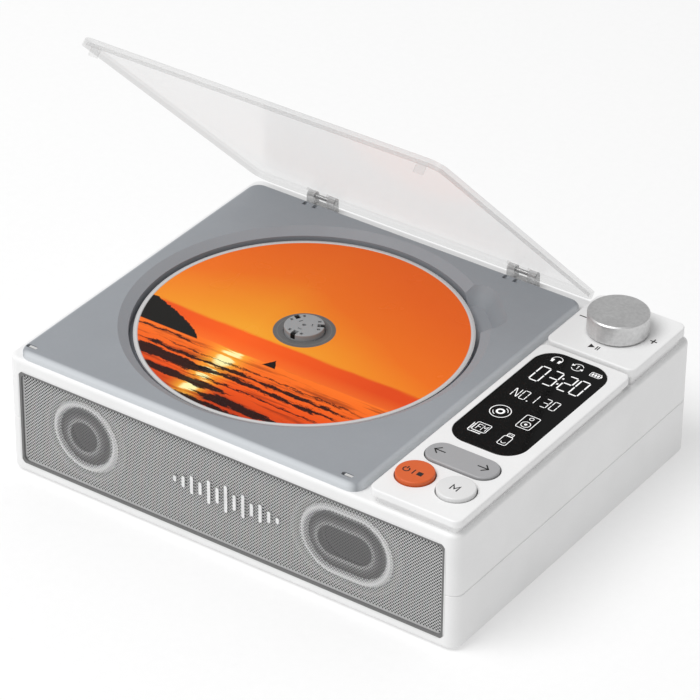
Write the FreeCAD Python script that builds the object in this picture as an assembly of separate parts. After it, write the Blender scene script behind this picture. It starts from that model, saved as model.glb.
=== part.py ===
# Portable CD player: shells, speakers, disc drive, clear lid and control panel.
# Millimetres. +X runs right along the speaker grille, +Y to the rear, +Z up.
# Origin: centre of the footprint, at the height the rubber feet rest on. The lid is drawn open.
import FreeCAD, Part
import math
import os

V = FreeCAD.Vector
X_DIR = V(1, 0, 0)
Y_DIR = V(0, 1, 0)
Z_DIR = V(0, 0, 1)

# Case
BODY_W = 188.0
BODY_D = 148.0
BODY_BOTTOM = 1.0
SEAM_Z = 22.6
BODY_TOP = 47.3
BODY_CORNER_R = 4.5
TOP_EDGE_R = 1.5
BOTTOM_EDGE_R = 1.0
SEAM_CHAMFER = 0.35
WALL = 2.2
FLOOR_TOP = 3.2
FRONT_Y = -BODY_D / 2
REAR_Y = BODY_D / 2
SIDE_X = BODY_W / 2

# Speaker opening in the front
GRILLE_HALF_W = 89.3
GRILLE_Z0 = 3.8
GRILLE_Z1 = 42.9
GRILLE_CORNER_R = 3.5
GRILLE_RIM = 1.3
GRILLE_GAP = 0.1
BAFFLE_Y0 = -71.6
BAFFLE_Y1 = -69.6
SPEAKER_Z = 24.4
LEFT_SPEAKER_X = -61.5
RIGHT_SPEAKER_X = 48.5

# Disc and well
DISC_X = -19.0
DISC_Y = -1.4
DISC_R = 60.0
DISC_HOLE_R = 7.5
DISC_T = 1.2
DISC_TOP = 47.3
DISC_BOTTOM = DISC_TOP - DISC_T
DECK_X0 = -90.2
DECK_X1 = 53.4
DECK_Y0 = -72.9
DECK_Y1 = 67.4
DECK_TOP = 50.6
DECK_CORNER_R = 5.0
DECK_EDGE_R = 1.9
WELL_TOP_R = 65.3
WELL_FLOOR_R = 61.6
WELL_SLOPE_Z = 48.4
WELL_FLOOR_Z = 44.2
TRAY_BOTTOM = 42.4
TRAY_WALL = 1.6
TRAY_GAP = 0.4
# Finger notch, a sloping pocket at 45 degrees: its reach from the disc axis, half width and corners
NOTCH_DEG = 45.0
NOTCH_START = 48.0
NOTCH_TOP = (70.9, 14.6, 8.0)
NOTCH_FLOOR = (66.4, 10.6, 5.5)

# Lid, in its closed position before it is swung open
LID_X0 = -90.8
LID_X1 = 56.9
LID_Y0 = -76.0
LID_Y1 = 70.9
LID_BOTTOM = 51.0
LID_TOP = 53.8
LID_PLATE_T = 1.4
LID_RIM_T = 1.2
LID_CORNER_R = 6.0
LID_OPEN_DEG = 45.0
HINGE_Y = 69.4
HINGE_Z = 52.0
HINGE_XS = (-61.2, 26.3)
KNUCKLE_R = 1.7
CATCH_XS = (-86.7, 46.6)
CATCH_Y = -68.9

# Control panel
PANEL_X0 = 58.0
PANEL_X1 = 94.0
PANEL_Y0 = -73.9
PANEL_Y1 = 33.1
PANEL_BOTTOM = 50.3
PANEL_TOP = 53.3
PANEL_CORNER_R = 3.2
PANEL_EDGE_R = 0.6
PLINTH_INSET = 2.0
PLINTH_WALL = 1.5
WINDOW = (60.7, 89.3, -33.8, 30.5)
WINDOW_R = 8.5
WINDOW_T = 1.2
BUTTON_R = 6.75
BUTTON_TOP = 54.9
BUTTON_GAP = 0.4
POWER_BUTTON = (67.0, -59.3)
MODE_BUTTON = (83.1, -59.1)
ROCKER_X = 75.6
ROCKER_Y = -44.0
ROCKER_HALF_L = 13.8
ROCKER_R = 5.7
ROCKER_TOP = 54.3
ROCKER_GAP = 0.45
ROCKER_AXLE_Z = 48.2
ROCKER_PLUNGER_DX = 7.5

# Knob plate and volume knob
KNOB_PLATE = (58.0, 94.0, 33.8, 70.1)
KNOB_PLATE_BOTTOM = 50.9
KNOB_PLATE_TOP = 54.5
KNOB_X = 76.1
KNOB_Y = 52.6
KNOB_R = 11.0
KNOB_BOTTOM = 55.2
KNOB_TOP = 62.7

# Boards and battery
BOARD_T = 1.6
CONTROL_BOARD_Z = 43.2
MAIN_BOARD_Z = 8.0
CELL_R = 9.2
CELL_L = 65.0
CELL_Z = 12.9

# Drive under the disc, given from the disc axis
CHASSIS_Z = 38.0
CHASSIS_T = 1.2
ROD_Z = 34.0
ROD_R = 1.5
ROD_DY = 15.0
SHAFT_CLEARANCE = 0.06
LENS_U = 30.0
RACK_PITCH_V = -21.3
RACK_MODULE = 0.6
RACK_GEAR_TEETH = 12
DRIVE_MODULE = 0.5
DRIVE_GEAR_TEETH = 30
PINION_TEETH = 10
GEAR_U = 40.0
MESH_SLACK = 0.05


def box(x0, x1, y0, y1, z0, z1):
    """Plain block between two corners."""
    return Part.makeBox(x1 - x0, y1 - y0, z1 - z0, V(x0, y0, z0))


def rod(r, length, start, direction):
    """Cylinder of a given length along a direction."""
    return Part.makeCylinder(r, length, start, direction)


def post(r, x, y, z0, z1):
    """Upright cylinder."""
    return rod(r, z1 - z0, V(x, y, z0), Z_DIR)


def cone(r0, r1, x, y, z0, z1):
    """Upright cone frustum."""
    return Part.makeCone(r0, r1, z1 - z0, V(x, y, z0), Z_DIR)


def rounded_outline(x0, x1, y0, y1, r, z):
    """Closed wire of a rounded rectangle at height z."""
    k = r * (1 - math.sqrt(0.5))
    corners = [
        (V(x1 - r, y0, z), V(x1 - k, y0 + k, z), V(x1, y0 + r, z)),
        (V(x1, y1 - r, z), V(x1 - k, y1 - k, z), V(x1 - r, y1, z)),
        (V(x0 + r, y1, z), V(x0 + k, y1 - k, z), V(x0, y1 - r, z)),
        (V(x0, y0 + r, z), V(x0 + k, y0 + k, z), V(x0 + r, y0, z)),
    ]
    edges = []
    last = corners[-1][2]
    for start, middle, end in corners:
        if (start - last).Length > 1e-6:
            edges.append(Part.makeLine(last, start))
        edges.append(Part.Arc(start, middle, end).toShape())
        last = end
    return Part.Wire(edges)


def rounded_box(x0, x1, y0, y1, z0, z1, r):
    """Block with rounded upright edges."""
    face = Part.Face(rounded_outline(x0, x1, y0, y1, r, z0))
    return face.extrude(V(0, 0, z1 - z0))


def upright(shape, y):
    """Stand a shape drawn in X and Y up into X and Z; its old height then runs to the rear from y."""
    turned = shape.copy()
    turned.rotate(V(0, 0, 0), X_DIR, 90)
    moved = turned.mirror(V(0, 0, 0), Y_DIR)
    moved.translate(V(0, y, 0))
    return moved


def front_block(x0, x1, z0, z1, r, y0, y1):
    """Rounded rectangle seen from the front, with a depth in Y."""
    return upright(rounded_box(x0, x1, z0, z1, 0, y1 - y0, r), y0)


def edges_at_height(shape, z):
    """Edges that lie flat at one height."""
    return [e for e in shape.Edges if abs(e.BoundBox.ZMin - z) < 1e-4 and abs(e.BoundBox.ZMax - z) < 1e-4]


def round_at_height(shape, z, r):
    """Fillet every edge that lies flat at one height."""
    return shape.makeFillet(r, edges_at_height(shape, z))


def bevel_at_height(shape, z, size):
    """Chamfer every edge that lies flat at one height."""
    return shape.makeChamfer(size, edges_at_height(shape, z))


def join(shapes):
    """One solid from several that meet."""
    first = shapes[0]
    return first.fuse(shapes[1:]).removeSplitter()


def cut_all(shape, tools):
    """Cut a list of shapes out of another."""
    return shape.cut(Part.makeCompound(tools))


def cavity(z0, z1):
    """Space inside the case walls."""
    return rounded_box(WALL - SIDE_X, SIDE_X - WALL, FRONT_Y + WALL, REAR_Y - WALL, z0, z1, BODY_CORNER_R - WALL)


def grille_opening(margin):
    """Speaker opening through the front wall, larger than the grille frame by a margin."""
    return front_block(
        -GRILLE_HALF_W - margin,
        GRILLE_HALF_W + margin,
        GRILLE_Z0 - margin,
        GRILLE_Z1 + margin,
        GRILLE_CORNER_R + margin,
        FRONT_Y - 1,
        FRONT_Y + WALL + 0.05,
    )


FOOT_SPOTS = [(sx * 80.0, sy * 60.0) for sx in (-1, 1) for sy in (-1, 1)]
FOOT_R = 6.0
FOOT_RECESS = 0.6
SCREW_SPOTS = [(-88.7, -63.0), (88.7, -63.0), (-86.0, 66.5), (86.0, 66.5)]
BOSS_R = 2.9
BOSS_SPLIT = 10.0
SCREW_R = 1.2
DAMPER_SPOTS = [(DISC_X + u, DISC_Y + v) for u in (-26.0, 66.0) for v in (-30.0, 30.0)]
DAMPER_Z = 35.5
BOARD_POSTS = [(-62.0, 38.0), (-62.0, 66.0), (14.0, 38.0), (14.0, 66.0)]
PORT_Z = 12.6
USB_C_X = -50.0
USB_C_HOLE = (4.9, 9.4, 13.2, 1.8)
USB_A_X = -28.0
USB_A_HOLE = (7.0, 9.4, 15.8, 0.6)
JACK_X = -6.0
JACK_HOLE_R = 3.3


def lower_shell():
    """Bottom half of the case with its feet recesses, screw bosses and posts."""
    outer = rounded_box(-SIDE_X, SIDE_X, FRONT_Y, REAR_Y, BODY_BOTTOM, SEAM_Z, BODY_CORNER_R)
    outer = round_at_height(outer, BODY_BOTTOM, BOTTOM_EDGE_R)
    outer = bevel_at_height(outer, SEAM_Z, SEAM_CHAMFER)
    tub = outer.cut(cavity(FLOOR_TOP, SEAM_Z + 1))
    parts = [tub]
    for x, y in SCREW_SPOTS:
        parts.append(post(BOSS_R, x, y, FLOOR_TOP - 0.5, BOSS_SPLIT))
    for x, y in DAMPER_SPOTS:
        parts.append(post(3.0, x, y, FLOOR_TOP - 0.5, DAMPER_Z))
    for x, y in BOARD_POSTS:
        parts.append(post(2.5, x, y, FLOOR_TOP - 0.5, MAIN_BOARD_Z))
    shell = join(parts)
    tools = [grille_opening(GRILLE_GAP)]
    for x, y in FOOT_SPOTS:
        tools.append(post(FOOT_R, x, y, BODY_BOTTOM - 1, BODY_BOTTOM + FOOT_RECESS))
    for x, y in SCREW_SPOTS:
        tools.append(post(SCREW_R + 0.2, x, y, BODY_BOTTOM - 1, BOSS_SPLIT + 1))
        tools.append(post(2.3, x, y, BODY_BOTTOM - 1, 5.0))
    for x, (half_w, z0, z1, r) in ((USB_C_X, USB_C_HOLE), (USB_A_X, USB_A_HOLE)):
        tools.append(front_block(x - half_w, x + half_w, z0, z1, r, REAR_Y - 3, REAR_Y + 1))
    tools.append(rod(JACK_HOLE_R, 4, V(JACK_X, REAR_Y - 3, PORT_Z), Y_DIR))
    return cut_all(shell, tools)


def upper_shell():
    """Top half of the case: walls, top panel, and the openings for the drive and the controls."""
    outer = rounded_box(-SIDE_X, SIDE_X, FRONT_Y, REAR_Y, SEAM_Z, BODY_TOP, BODY_CORNER_R)
    outer = round_at_height(outer, BODY_TOP, TOP_EDGE_R)
    outer = bevel_at_height(outer, SEAM_Z, SEAM_CHAMFER)
    parts = [outer.cut(cavity(SEAM_Z - 1, BODY_TOP - WALL))]
    for x, y in SCREW_SPOTS:
        parts.append(post(BOSS_R, x, y, BOSS_SPLIT, BODY_TOP - WALL + 0.5))
    shell = join(parts)
    tools = [grille_opening(GRILLE_GAP)]
    tools.append(post(WELL_TOP_R + TRAY_GAP, DISC_X, DISC_Y, BODY_TOP - 5, BODY_TOP + 1))
    tools.append(notch_block(BODY_TOP - 5, BODY_TOP + 1, TRAY_WALL + TRAY_GAP))
    tools.append(box(63.0, 86.0, -67.5, 28.5, BODY_TOP - 5, BODY_TOP + 1))
    tools.append(box(KNOB_X - 6.6, KNOB_X + 6.6, KNOB_Y - 6.6, KNOB_Y + 6.6, BODY_TOP - 5, BODY_TOP + 1))
    for x, y in SCREW_SPOTS:
        tools.append(post(SCREW_R + 0.1, x, y, BOSS_SPLIT - 1, BOSS_SPLIT + 10))
    return cut_all(shell, tools)


def rubber_feet():
    """Four round feet, each set into its recess."""
    feet = []
    for x, y in FOOT_SPOTS:
        foot = post(FOOT_R, x, y, 0, BODY_BOTTOM + FOOT_RECESS)
        feet.append(bevel_at_height(foot, 0, 0.3))
    return feet


def case_screws():
    """Four screws that hold the case halves together."""
    screws = []
    for x, y in SCREW_SPOTS:
        head = post(2.1, x, y, 3.4, 5.0)
        shank = post(SCREW_R, x, y, 4.9, 18.0)
        slot = box(x - 1.3, x + 1.3, y - 0.3, y + 0.3, 3.3, 4.1)
        screws.append(head.fuse(shank).cut(slot))
    return screws


def grille_frame():
    """Thin rim around the speaker grille."""
    outer = front_block(-GRILLE_HALF_W, GRILLE_HALF_W, GRILLE_Z0, GRILLE_Z1, GRILLE_CORNER_R, FRONT_Y, -71.9)
    hole_r = GRILLE_CORNER_R - GRILLE_RIM
    hole = front_block(
        GRILLE_RIM - GRILLE_HALF_W,
        GRILLE_HALF_W - GRILLE_RIM,
        GRILLE_Z0 + GRILLE_RIM,
        GRILLE_Z1 - GRILLE_RIM,
        hole_r,
        FRONT_Y - 1,
        -71,
    )
    return outer.cut(hole)


def speaker_grille():
    """Flat metal sheet in front of the speakers."""
    return front_block(
        GRILLE_RIM - GRILLE_HALF_W,
        GRILLE_HALF_W - GRILLE_RIM,
        GRILLE_Z0 + GRILLE_RIM,
        GRILLE_Z1 - GRILLE_RIM,
        GRILLE_CORNER_R - GRILLE_RIM,
        -73.1,
        -72.6,
    )


EMBLEM_HEIGHTS = (2.4, 4.6, 7.4, 5.2, 9.6, 6.4, 11.0, 6.4, 9.6, 5.2, 7.4, 4.6, 2.4)
EMBLEM_STEP = 3.6
EMBLEM_BAR_W = 1.3


def grille_emblem():
    """Row of upright bars, like a sound level, in the middle of the grille."""
    bars = []
    start = -EMBLEM_STEP * (len(EMBLEM_HEIGHTS) - 1) / 2
    for i, height in enumerate(EMBLEM_HEIGHTS):
        x = start + i * EMBLEM_STEP
        half = height / 2
        half_w = EMBLEM_BAR_W / 2
        r = half_w * 0.98
        bars.append(front_block(x - half_w, x + half_w, SPEAKER_Z - half, SPEAKER_Z + half, r, FRONT_Y, -73.1))
    return bars


def oval(cx, half_w, half_h, y0, y1):
    """Racetrack-shaped block seen from the front, centred on the speaker height."""
    r = min(half_w, half_h) * 0.999
    return front_block(cx - half_w, cx + half_w, SPEAKER_Z - half_h, SPEAKER_Z + half_h, r, y0, y1)


def oval_horn(cx, front, back, y0, y1):
    """Solid that narrows from a front racetrack to a back one."""
    sections = []
    for (half_w, half_h), y in ((front, y0), (back, y1)):
        r = min(half_w, half_h) * 0.999
        x0 = cx - half_w
        x1 = cx + half_w
        outline = rounded_outline(x0, x1, SPEAKER_Z - half_h, SPEAKER_Z + half_h, r, 0)
        sections.append(upright(outline, y))
    return Part.makeLoft(sections, True, True)


# Half width and half height of each ring of the two drivers, from the outside in
LEFT_RINGS = {"flange": (17.1, 17.1), "roll": (14.4, 14.4), "cone": (11.4, 11.4), "cap": (7.8, 7.8)}
RIGHT_RINGS = {"flange": (22.6, 17.1), "roll": (19.2, 14.6), "cone": (16.0, 11.4), "cap": (9.9, 7.8)}


def speaker_frame(cx, rings):
    """Driver basket: front flange, sloping basket and rear ring."""
    flange = oval(cx, *rings["flange"], -72.5, BAFFLE_Y0)
    front = (rings["roll"][0] + 0.8, rings["roll"][1] + 0.8)
    basket = oval_horn(cx, front, (12.0, 12.0), BAFFLE_Y0 - 0.1, -58.0)
    hollow = oval_horn(cx, rings["roll"], (10.4, 10.4), -71.4, -59.2)
    tools = [oval(cx, *rings["roll"], -73.0, -71.3), hollow, oval(cx, 8.0, 8.0, -61, -57)]
    return cut_all(flange.fuse(basket), tools)


def speaker_surround(cx, rings):
    """Rubber roll between the basket and the cone."""
    outer = oval(cx, rings["roll"][0] - 0.05, rings["roll"][1] - 0.05, -72.4, -71.4)
    return outer.cut(oval(cx, *rings["cone"], -73, -71))


def speaker_cone(cx, rings):
    """Cone with its centre cap and voice coil."""
    front = (rings["cone"][0] - 0.05, rings["cone"][1] - 0.05)
    shell = oval_horn(cx, front, (5.0, 5.0), -72.0, -65.0)
    inside = oval_horn(cx, (front[0] - 0.5, front[1] - 0.5), (4.4, 4.4), -72.2, -65.4)
    cap = oval(cx, *rings["cap"], -68.4, -67.8)
    coil = oval(cx, 4.9, 4.9, -66.0, -59.4).cut(oval(cx, 4.5, 4.5, -67.0, -59.0))
    return shell.cut(inside).fuse([cap, coil]).removeSplitter()


def speaker_magnet(cx):
    """Magnet and rear plate."""
    magnet = rod(14.0, 7.0, V(cx, -57.9, SPEAKER_Z), Y_DIR)
    plate = rod(11.0, 1.2, V(cx, -50.9, SPEAKER_Z), Y_DIR)
    return magnet.fuse(plate)


def speaker_baffle():
    """Dark inner wall that carries both drivers."""
    plate = front_block(-90.2, 90.2, FLOOR_TOP + 0.1, 44.8, 1.0, BAFFLE_Y0, BAFFLE_Y1)
    tools = []
    for cx, rings in ((LEFT_SPEAKER_X, LEFT_RINGS), (RIGHT_SPEAKER_X, RIGHT_RINGS)):
        half_w, half_h = rings["roll"]
        tools.append(oval(cx, half_w + 0.9, half_h + 0.9, BAFFLE_Y0 - 1, BAFFLE_Y1 + 1))
    return cut_all(plate, tools)


def notch_outline(z, margin):
    """Outline of the finger notch at one height, grown all round by a margin."""
    rise = (z - WELL_FLOOR_Z) / (DECK_TOP - WELL_FLOOR_Z)
    reach, half_w, r = [low + (high - low) * rise + margin for low, high in zip(NOTCH_FLOOR, NOTCH_TOP)]
    outline = rounded_outline(NOTCH_START, reach, -half_w, half_w, r, z)
    outline.rotate(V(0, 0, 0), Z_DIR, NOTCH_DEG)
    outline.translate(V(DISC_X, DISC_Y, 0))
    return outline


def notch_block(z0, z1, margin):
    """Sloping block of the finger notch between two heights."""
    return Part.makeLoft([notch_outline(z0, margin), notch_outline(z1, margin)], True, True)


def well_cutter(z0, z1):
    """Space of the disc well and its finger notch: upright wall beside the disc, sloping edge above it."""
    parts = [notch_block(z0, z1, 0)]
    if z0 < WELL_SLOPE_Z:
        parts.append(post(WELL_FLOOR_R, DISC_X, DISC_Y, z0, min(z1, WELL_SLOPE_Z)))
    if z1 > WELL_SLOPE_Z:
        parts.append(cone(WELL_FLOOR_R, WELL_TOP_R, DISC_X, DISC_Y, WELL_SLOPE_Z, DECK_TOP))
        parts.append(post(WELL_TOP_R, DISC_X, DISC_Y, DECK_TOP, z1))
    return join(parts)


def deck_plate():
    """Flat plate around the disc well, with catch slots at the front and ramps at the hinges."""
    plate = rounded_box(DECK_X0, DECK_X1, DECK_Y0, DECK_Y1, BODY_TOP, DECK_TOP, DECK_CORNER_R)
    plate = round_at_height(plate, DECK_TOP, DECK_EDGE_R)
    plate = plate.cut(well_cutter(BODY_TOP - 0.5, DECK_TOP + 1))
    tools = []
    for x in CATCH_XS:
        tools.append(rounded_box(x - 2.3, x + 2.3, CATCH_Y - 0.95, CATCH_Y + 0.95, 48.2, DECK_TOP + 1, 0.9))
    for x in HINGE_XS:
        tools.append(box(x - 5.4, x - 3.4, 63.6, 66.8, 49.4, DECK_TOP + 1))
        tools.append(box(x - 1.0, x + 1.0, 63.6, 66.8, 49.4, DECK_TOP + 1))
    return cut_all(plate, tools)


def disc_tray():
    """Dish under the deck plate, open for the spindle and the laser."""
    outer = cone(WELL_FLOOR_R + TRAY_WALL, 65.2, DISC_X, DISC_Y, TRAY_BOTTOM, BODY_TOP)
    outer = outer.fuse(notch_block(TRAY_BOTTOM, BODY_TOP, TRAY_WALL))
    tools = [well_cutter(WELL_FLOOR_Z, WELL_SLOPE_Z)]
    tools.append(post(9.0, DISC_X, DISC_Y, TRAY_BOTTOM - 1, WELL_FLOOR_Z + 1))
    window = rounded_box(18.5, 61.0, -5.2, 5.2, TRAY_BOTTOM - 1, WELL_FLOOR_Z + 1, 5.1)
    window.translate(V(DISC_X, DISC_Y, 0))
    tools.append(window)
    return cut_all(outer, tools)


def disc():
    """Optical disc with its clamping ring."""
    plate = post(DISC_R, DISC_X, DISC_Y, DISC_BOTTOM, DISC_TOP)
    return plate.cut(post(DISC_HOLE_R, DISC_X, DISC_Y, DISC_BOTTOM - 1, DISC_TOP + 1))


HUB_R = 7.2
HUB_TOP = 49.6
CLAW_BOTTOM = 47.6
CLAW_TOP = 49.3
CLAW_HALF_W = 0.85
CLAW_INNER_R = 5.8


def around_hub(z0, z1, v0, v1, r0, r1):
    """Three blocks a third of a turn apart on the hub, each from v0 to v1 across its radius."""
    blocks = []
    for angle in (30, 150, 270):
        block = box(r0, r1, v0, v1, z0, z1)
        block.rotate(V(0, 0, 0), Z_DIR, angle)
        block.translate(V(DISC_X, DISC_Y, 0))
        blocks.append(block)
    return blocks


def spindle_hub():
    """Turntable that carries the disc, with the centring boss, its claw slots and small moulded pockets."""
    boss = post(HUB_R, DISC_X, DISC_Y, 44.9, HUB_TOP)
    boss = round_at_height(boss, HUB_TOP, 0.35)
    platform = post(13.0, DISC_X, DISC_Y, 45.0, DISC_BOTTOM)
    neck = post(5.0, DISC_X, DISC_Y, 39.6, 45.1)
    hub = join([boss, platform, neck])
    slot_half_w = CLAW_HALF_W + 0.12
    tools = around_hub(CLAW_BOTTOM, HUB_TOP + 1, -slot_half_w, slot_half_w, 4.6, HUB_R + 1)
    for v in (-2.5, 2.5):
        tools += around_hub(HUB_TOP - 0.8, HUB_TOP + 1, v - 0.5, v + 0.5, 4.6, 5.8)
    tools += around_hub(HUB_TOP - 0.4, HUB_TOP + 1, -0.8, 0.8, 2.6, 3.1)
    tools.append(post(1.5, DISC_X, DISC_Y, 39.0, 47.0))
    tools.append(post(0.75, DISC_X, DISC_Y, HUB_TOP - 0.8, HUB_TOP + 1))
    return cut_all(hub, tools)


def chuck_claws():
    """Sprung claws that hold the disc on the boss."""
    limit = post(HUB_R - 0.05, DISC_X, DISC_Y, CLAW_BOTTOM, CLAW_TOP)
    blocks = around_hub(CLAW_BOTTOM, CLAW_TOP, -CLAW_HALF_W, CLAW_HALF_W, CLAW_INNER_R, HUB_R + 1)
    return [block.common(limit) for block in blocks]


def spindle_motor():
    """Motor that turns the disc, hung under the drive chassis."""
    can = post(11.0, DISC_X, DISC_Y, 33.0, CHASSIS_Z)
    collar = post(4.0, DISC_X, DISC_Y, CHASSIS_Z - 0.1, 39.2)
    shaft = post(1.5 - SHAFT_CLEARANCE, DISC_X, DISC_Y, 39.0, 46.5)
    return join([can, collar, shaft])


def at_drive(shape):
    """Move a shape drawn from the disc axis into place."""
    moved = shape.copy()
    moved.translate(V(DISC_X, DISC_Y, 0))
    return moved


GEAR_V = RACK_PITCH_V - RACK_MODULE * RACK_GEAR_TEETH / 2 - MESH_SLACK
PINION_V = GEAR_V - DRIVE_MODULE * (DRIVE_GEAR_TEETH + PINION_TEETH) / 2 - MESH_SLACK


def mech_chassis():
    """Sheet-metal chassis of the drive with its rod holders."""
    plate = rounded_box(-32.0, 74.0, -42.0, 35.0, CHASSIS_Z, CHASSIS_Z + CHASSIS_T, 4.0)
    parts = [plate]
    for u in (8.0, 70.6):
        for v in (-ROD_DY, ROD_DY):
            parts.append(box(u, u + 2.0, v - 3.0, v + 3.0, 31.5, CHASSIS_Z + 0.1))
    body = join(parts)
    tools = [box(14.0, 66.0, -8.0, 8.0, CHASSIS_Z - 1, CHASSIS_Z + 3)]
    tools.append(post(4.1, 0, 0, CHASSIS_Z - 1, CHASSIS_Z + 3))
    for v in (-ROD_DY, ROD_DY):
        tools.append(rod(ROD_R, 80, V(0, v, ROD_Z), X_DIR))
    for x, y in DAMPER_SPOTS:
        tools.append(post(2.0, x - DISC_X, y - DISC_Y, CHASSIS_Z - 1, CHASSIS_Z + 3))
    return at_drive(cut_all(body, tools))


def chassis_dampers():
    """Rubber bushes between the posts and the chassis."""
    dampers = []
    for x, y in DAMPER_SPOTS:
        dampers.append(join([
            post(4.0, x, y, DAMPER_Z, CHASSIS_Z),
            post(1.9, x, y, CHASSIS_Z - 0.1, 39.3),
            post(3.4, x, y, 39.2, 40.4),
        ]))
    return dampers


def guide_rods():
    """Two steel rods that the laser sled runs on."""
    return [at_drive(rod(ROD_R, 64.6, V(8.0, v, ROD_Z), X_DIR)) for v in (-ROD_DY, ROD_DY)]


def toothed_disc(teeth, module, z0, z1, first_tooth_deg):
    """Spur gear around the origin with plain tapered teeth."""
    pitch_r = module * teeth / 2
    tip_r = pitch_r + 0.8 * module
    root_r = pitch_r - 1.15 * module
    step = 2 * math.pi / teeth
    points = []
    for i in range(teeth):
        middle = math.radians(first_tooth_deg) + i * step
        for r, offset in ((root_r, -0.24), (tip_r, -0.09), (tip_r, 0.09), (root_r, 0.24)):
            angle = middle + offset * step
            points.append(V(r * math.cos(angle), r * math.sin(angle), z0))
    points.append(points[0])
    return Part.Face(Part.makePolygon(points)).extrude(V(0, 0, z1 - z0))


def rack_bar():
    """Toothed bar on the side of the laser sled, with a gap facing the gear."""
    pitch = math.pi * RACK_MODULE
    root_v = RACK_PITCH_V + 1.15 * RACK_MODULE
    tip_v = RACK_PITCH_V - 0.8 * RACK_MODULE
    back_v = -18.4
    count = 10
    middle = GEAR_U
    points = [V(middle - (count + 0.5) * pitch, back_v, 31.5), V(middle - (count + 0.5) * pitch, root_v, 31.5)]
    for i in range(-count, count):
        tooth = middle + (i + 0.5) * pitch
        for v, offset in ((root_v, -0.24), (tip_v, -0.09), (tip_v, 0.09), (root_v, 0.24)):
            points.append(V(tooth + offset * pitch, v, 31.5))
    points.append(V(middle + (count + 0.5) * pitch, root_v, 31.5))
    points.append(V(middle + (count + 0.5) * pitch, back_v, 31.5))
    points.append(points[0])
    bar = Part.Face(Part.makePolygon(points)).extrude(V(0, 0, 2.3))
    whole_teeth = round((LENS_U - GEAR_U) / pitch)
    bar.translate(V(whole_teeth * pitch, 0, 0))
    return bar


def laser_sled():
    """Sled with two rod bearings, the lens turret and its rack."""
    block = rounded_box(LENS_U - 12, LENS_U + 12, -18.5, 18.5, 31.5, 36.6, 2.0)
    turret = post(4.0, LENS_U, 0, 36.5, 44.4)
    body = join([block, turret, rack_bar()])
    tools = [rod(ROD_R + SHAFT_CLEARANCE, 60, V(LENS_U - 30, v, ROD_Z), X_DIR) for v in (-ROD_DY, ROD_DY)]
    tools.append(post(2.7, LENS_U, 0, 43.8, 45))
    return at_drive(cut_all(body, tools))


def laser_lens():
    """Lens in the turret."""
    lens = post(2.6, LENS_U, 0, 43.8, 44.9)
    return at_drive(round_at_height(lens, 44.9, 0.5))


def sled_gear():
    """Compound gear between the rack and the motor pinion."""
    upper = toothed_disc(RACK_GEAR_TEETH, RACK_MODULE, 30.5, 33.6, 90)
    lower = toothed_disc(DRIVE_GEAR_TEETH, DRIVE_MODULE, 28.8, 30.6, -90)
    gear = upper.fuse(lower).cut(post(1.0 + SHAFT_CLEARANCE, 0, 0, 28, 35))
    gear.translate(V(GEAR_U, GEAR_V, 0))
    return at_drive(gear)


def gear_pin():
    """Fixed pin that the compound gear turns on."""
    pin = post(1.0, GEAR_U, GEAR_V, 28.4, CHASSIS_Z)
    return at_drive(pin.fuse(post(1.8, GEAR_U, GEAR_V, 34.2, CHASSIS_Z)))


def sled_motor():
    """Small motor that moves the sled, hung under the chassis."""
    can = post(5.0, GEAR_U, PINION_V, 31.2, CHASSIS_Z)
    shaft = post(0.75, GEAR_U, PINION_V, 28.6, 31.3)
    return at_drive(can.fuse(shaft))


def motor_pinion():
    """Pinion on the sled motor's shaft."""
    pinion = toothed_disc(PINION_TEETH, DRIVE_MODULE, 28.8, 30.6, 90 + 180 / PINION_TEETH)
    pinion = pinion.cut(post(0.75 + SHAFT_CLEARANCE, 0, 0, 28, 32))
    pinion.translate(V(GEAR_U, PINION_V, 0))
    return at_drive(pinion)


def closed_lid():
    """Clear lid lying closed: top plate, rim, hinge knuckles and catch tabs."""
    outer = rounded_box(LID_X0, LID_X1, LID_Y0, LID_Y1, LID_BOTTOM, LID_TOP, LID_CORNER_R)
    outer = round_at_height(outer, LID_TOP, 0.5)
    x0 = LID_X0 + LID_RIM_T
    x1 = LID_X1 - LID_RIM_T
    y0 = LID_Y0 + LID_RIM_T
    y1 = LID_Y1 - LID_RIM_T
    inside = rounded_box(x0, x1, y0, y1, LID_BOTTOM - 1, LID_TOP - LID_PLATE_T, LID_CORNER_R - LID_RIM_T)
    tray = outer.cut(inside)
    tray = cut_all(tray, [box(x - 6.4, x + 6.4, 66.9, 72.0, 50.0, 55.0) for x in HINGE_XS])
    parts = [tray]
    for x in HINGE_XS:
        parts.append(rod(KNUCKLE_R, 4.8, V(x - 2.4, HINGE_Y, HINGE_Z), X_DIR))
        parts.append(box(x - 2.4, x + 2.4, 66.0, HINGE_Y, LID_TOP - LID_PLATE_T, LID_TOP - 0.1))
    for x in CATCH_XS:
        parts.append(box(x - 1.8, x + 1.8, CATCH_Y - 0.45, CATCH_Y + 0.45, 49.0, LID_TOP - 1.0))
    lid = join(parts)
    bores = [rod(0.8 + SHAFT_CLEARANCE, 6.0, V(x - 3.0, HINGE_Y, HINGE_Z), X_DIR) for x in HINGE_XS]
    return cut_all(lid, bores)


def lid():
    """The lid swung open about its hinge line."""
    shape = closed_lid()
    shape.rotate(V(0, HINGE_Y, HINGE_Z), X_DIR, -LID_OPEN_DEG)
    return shape


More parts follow.
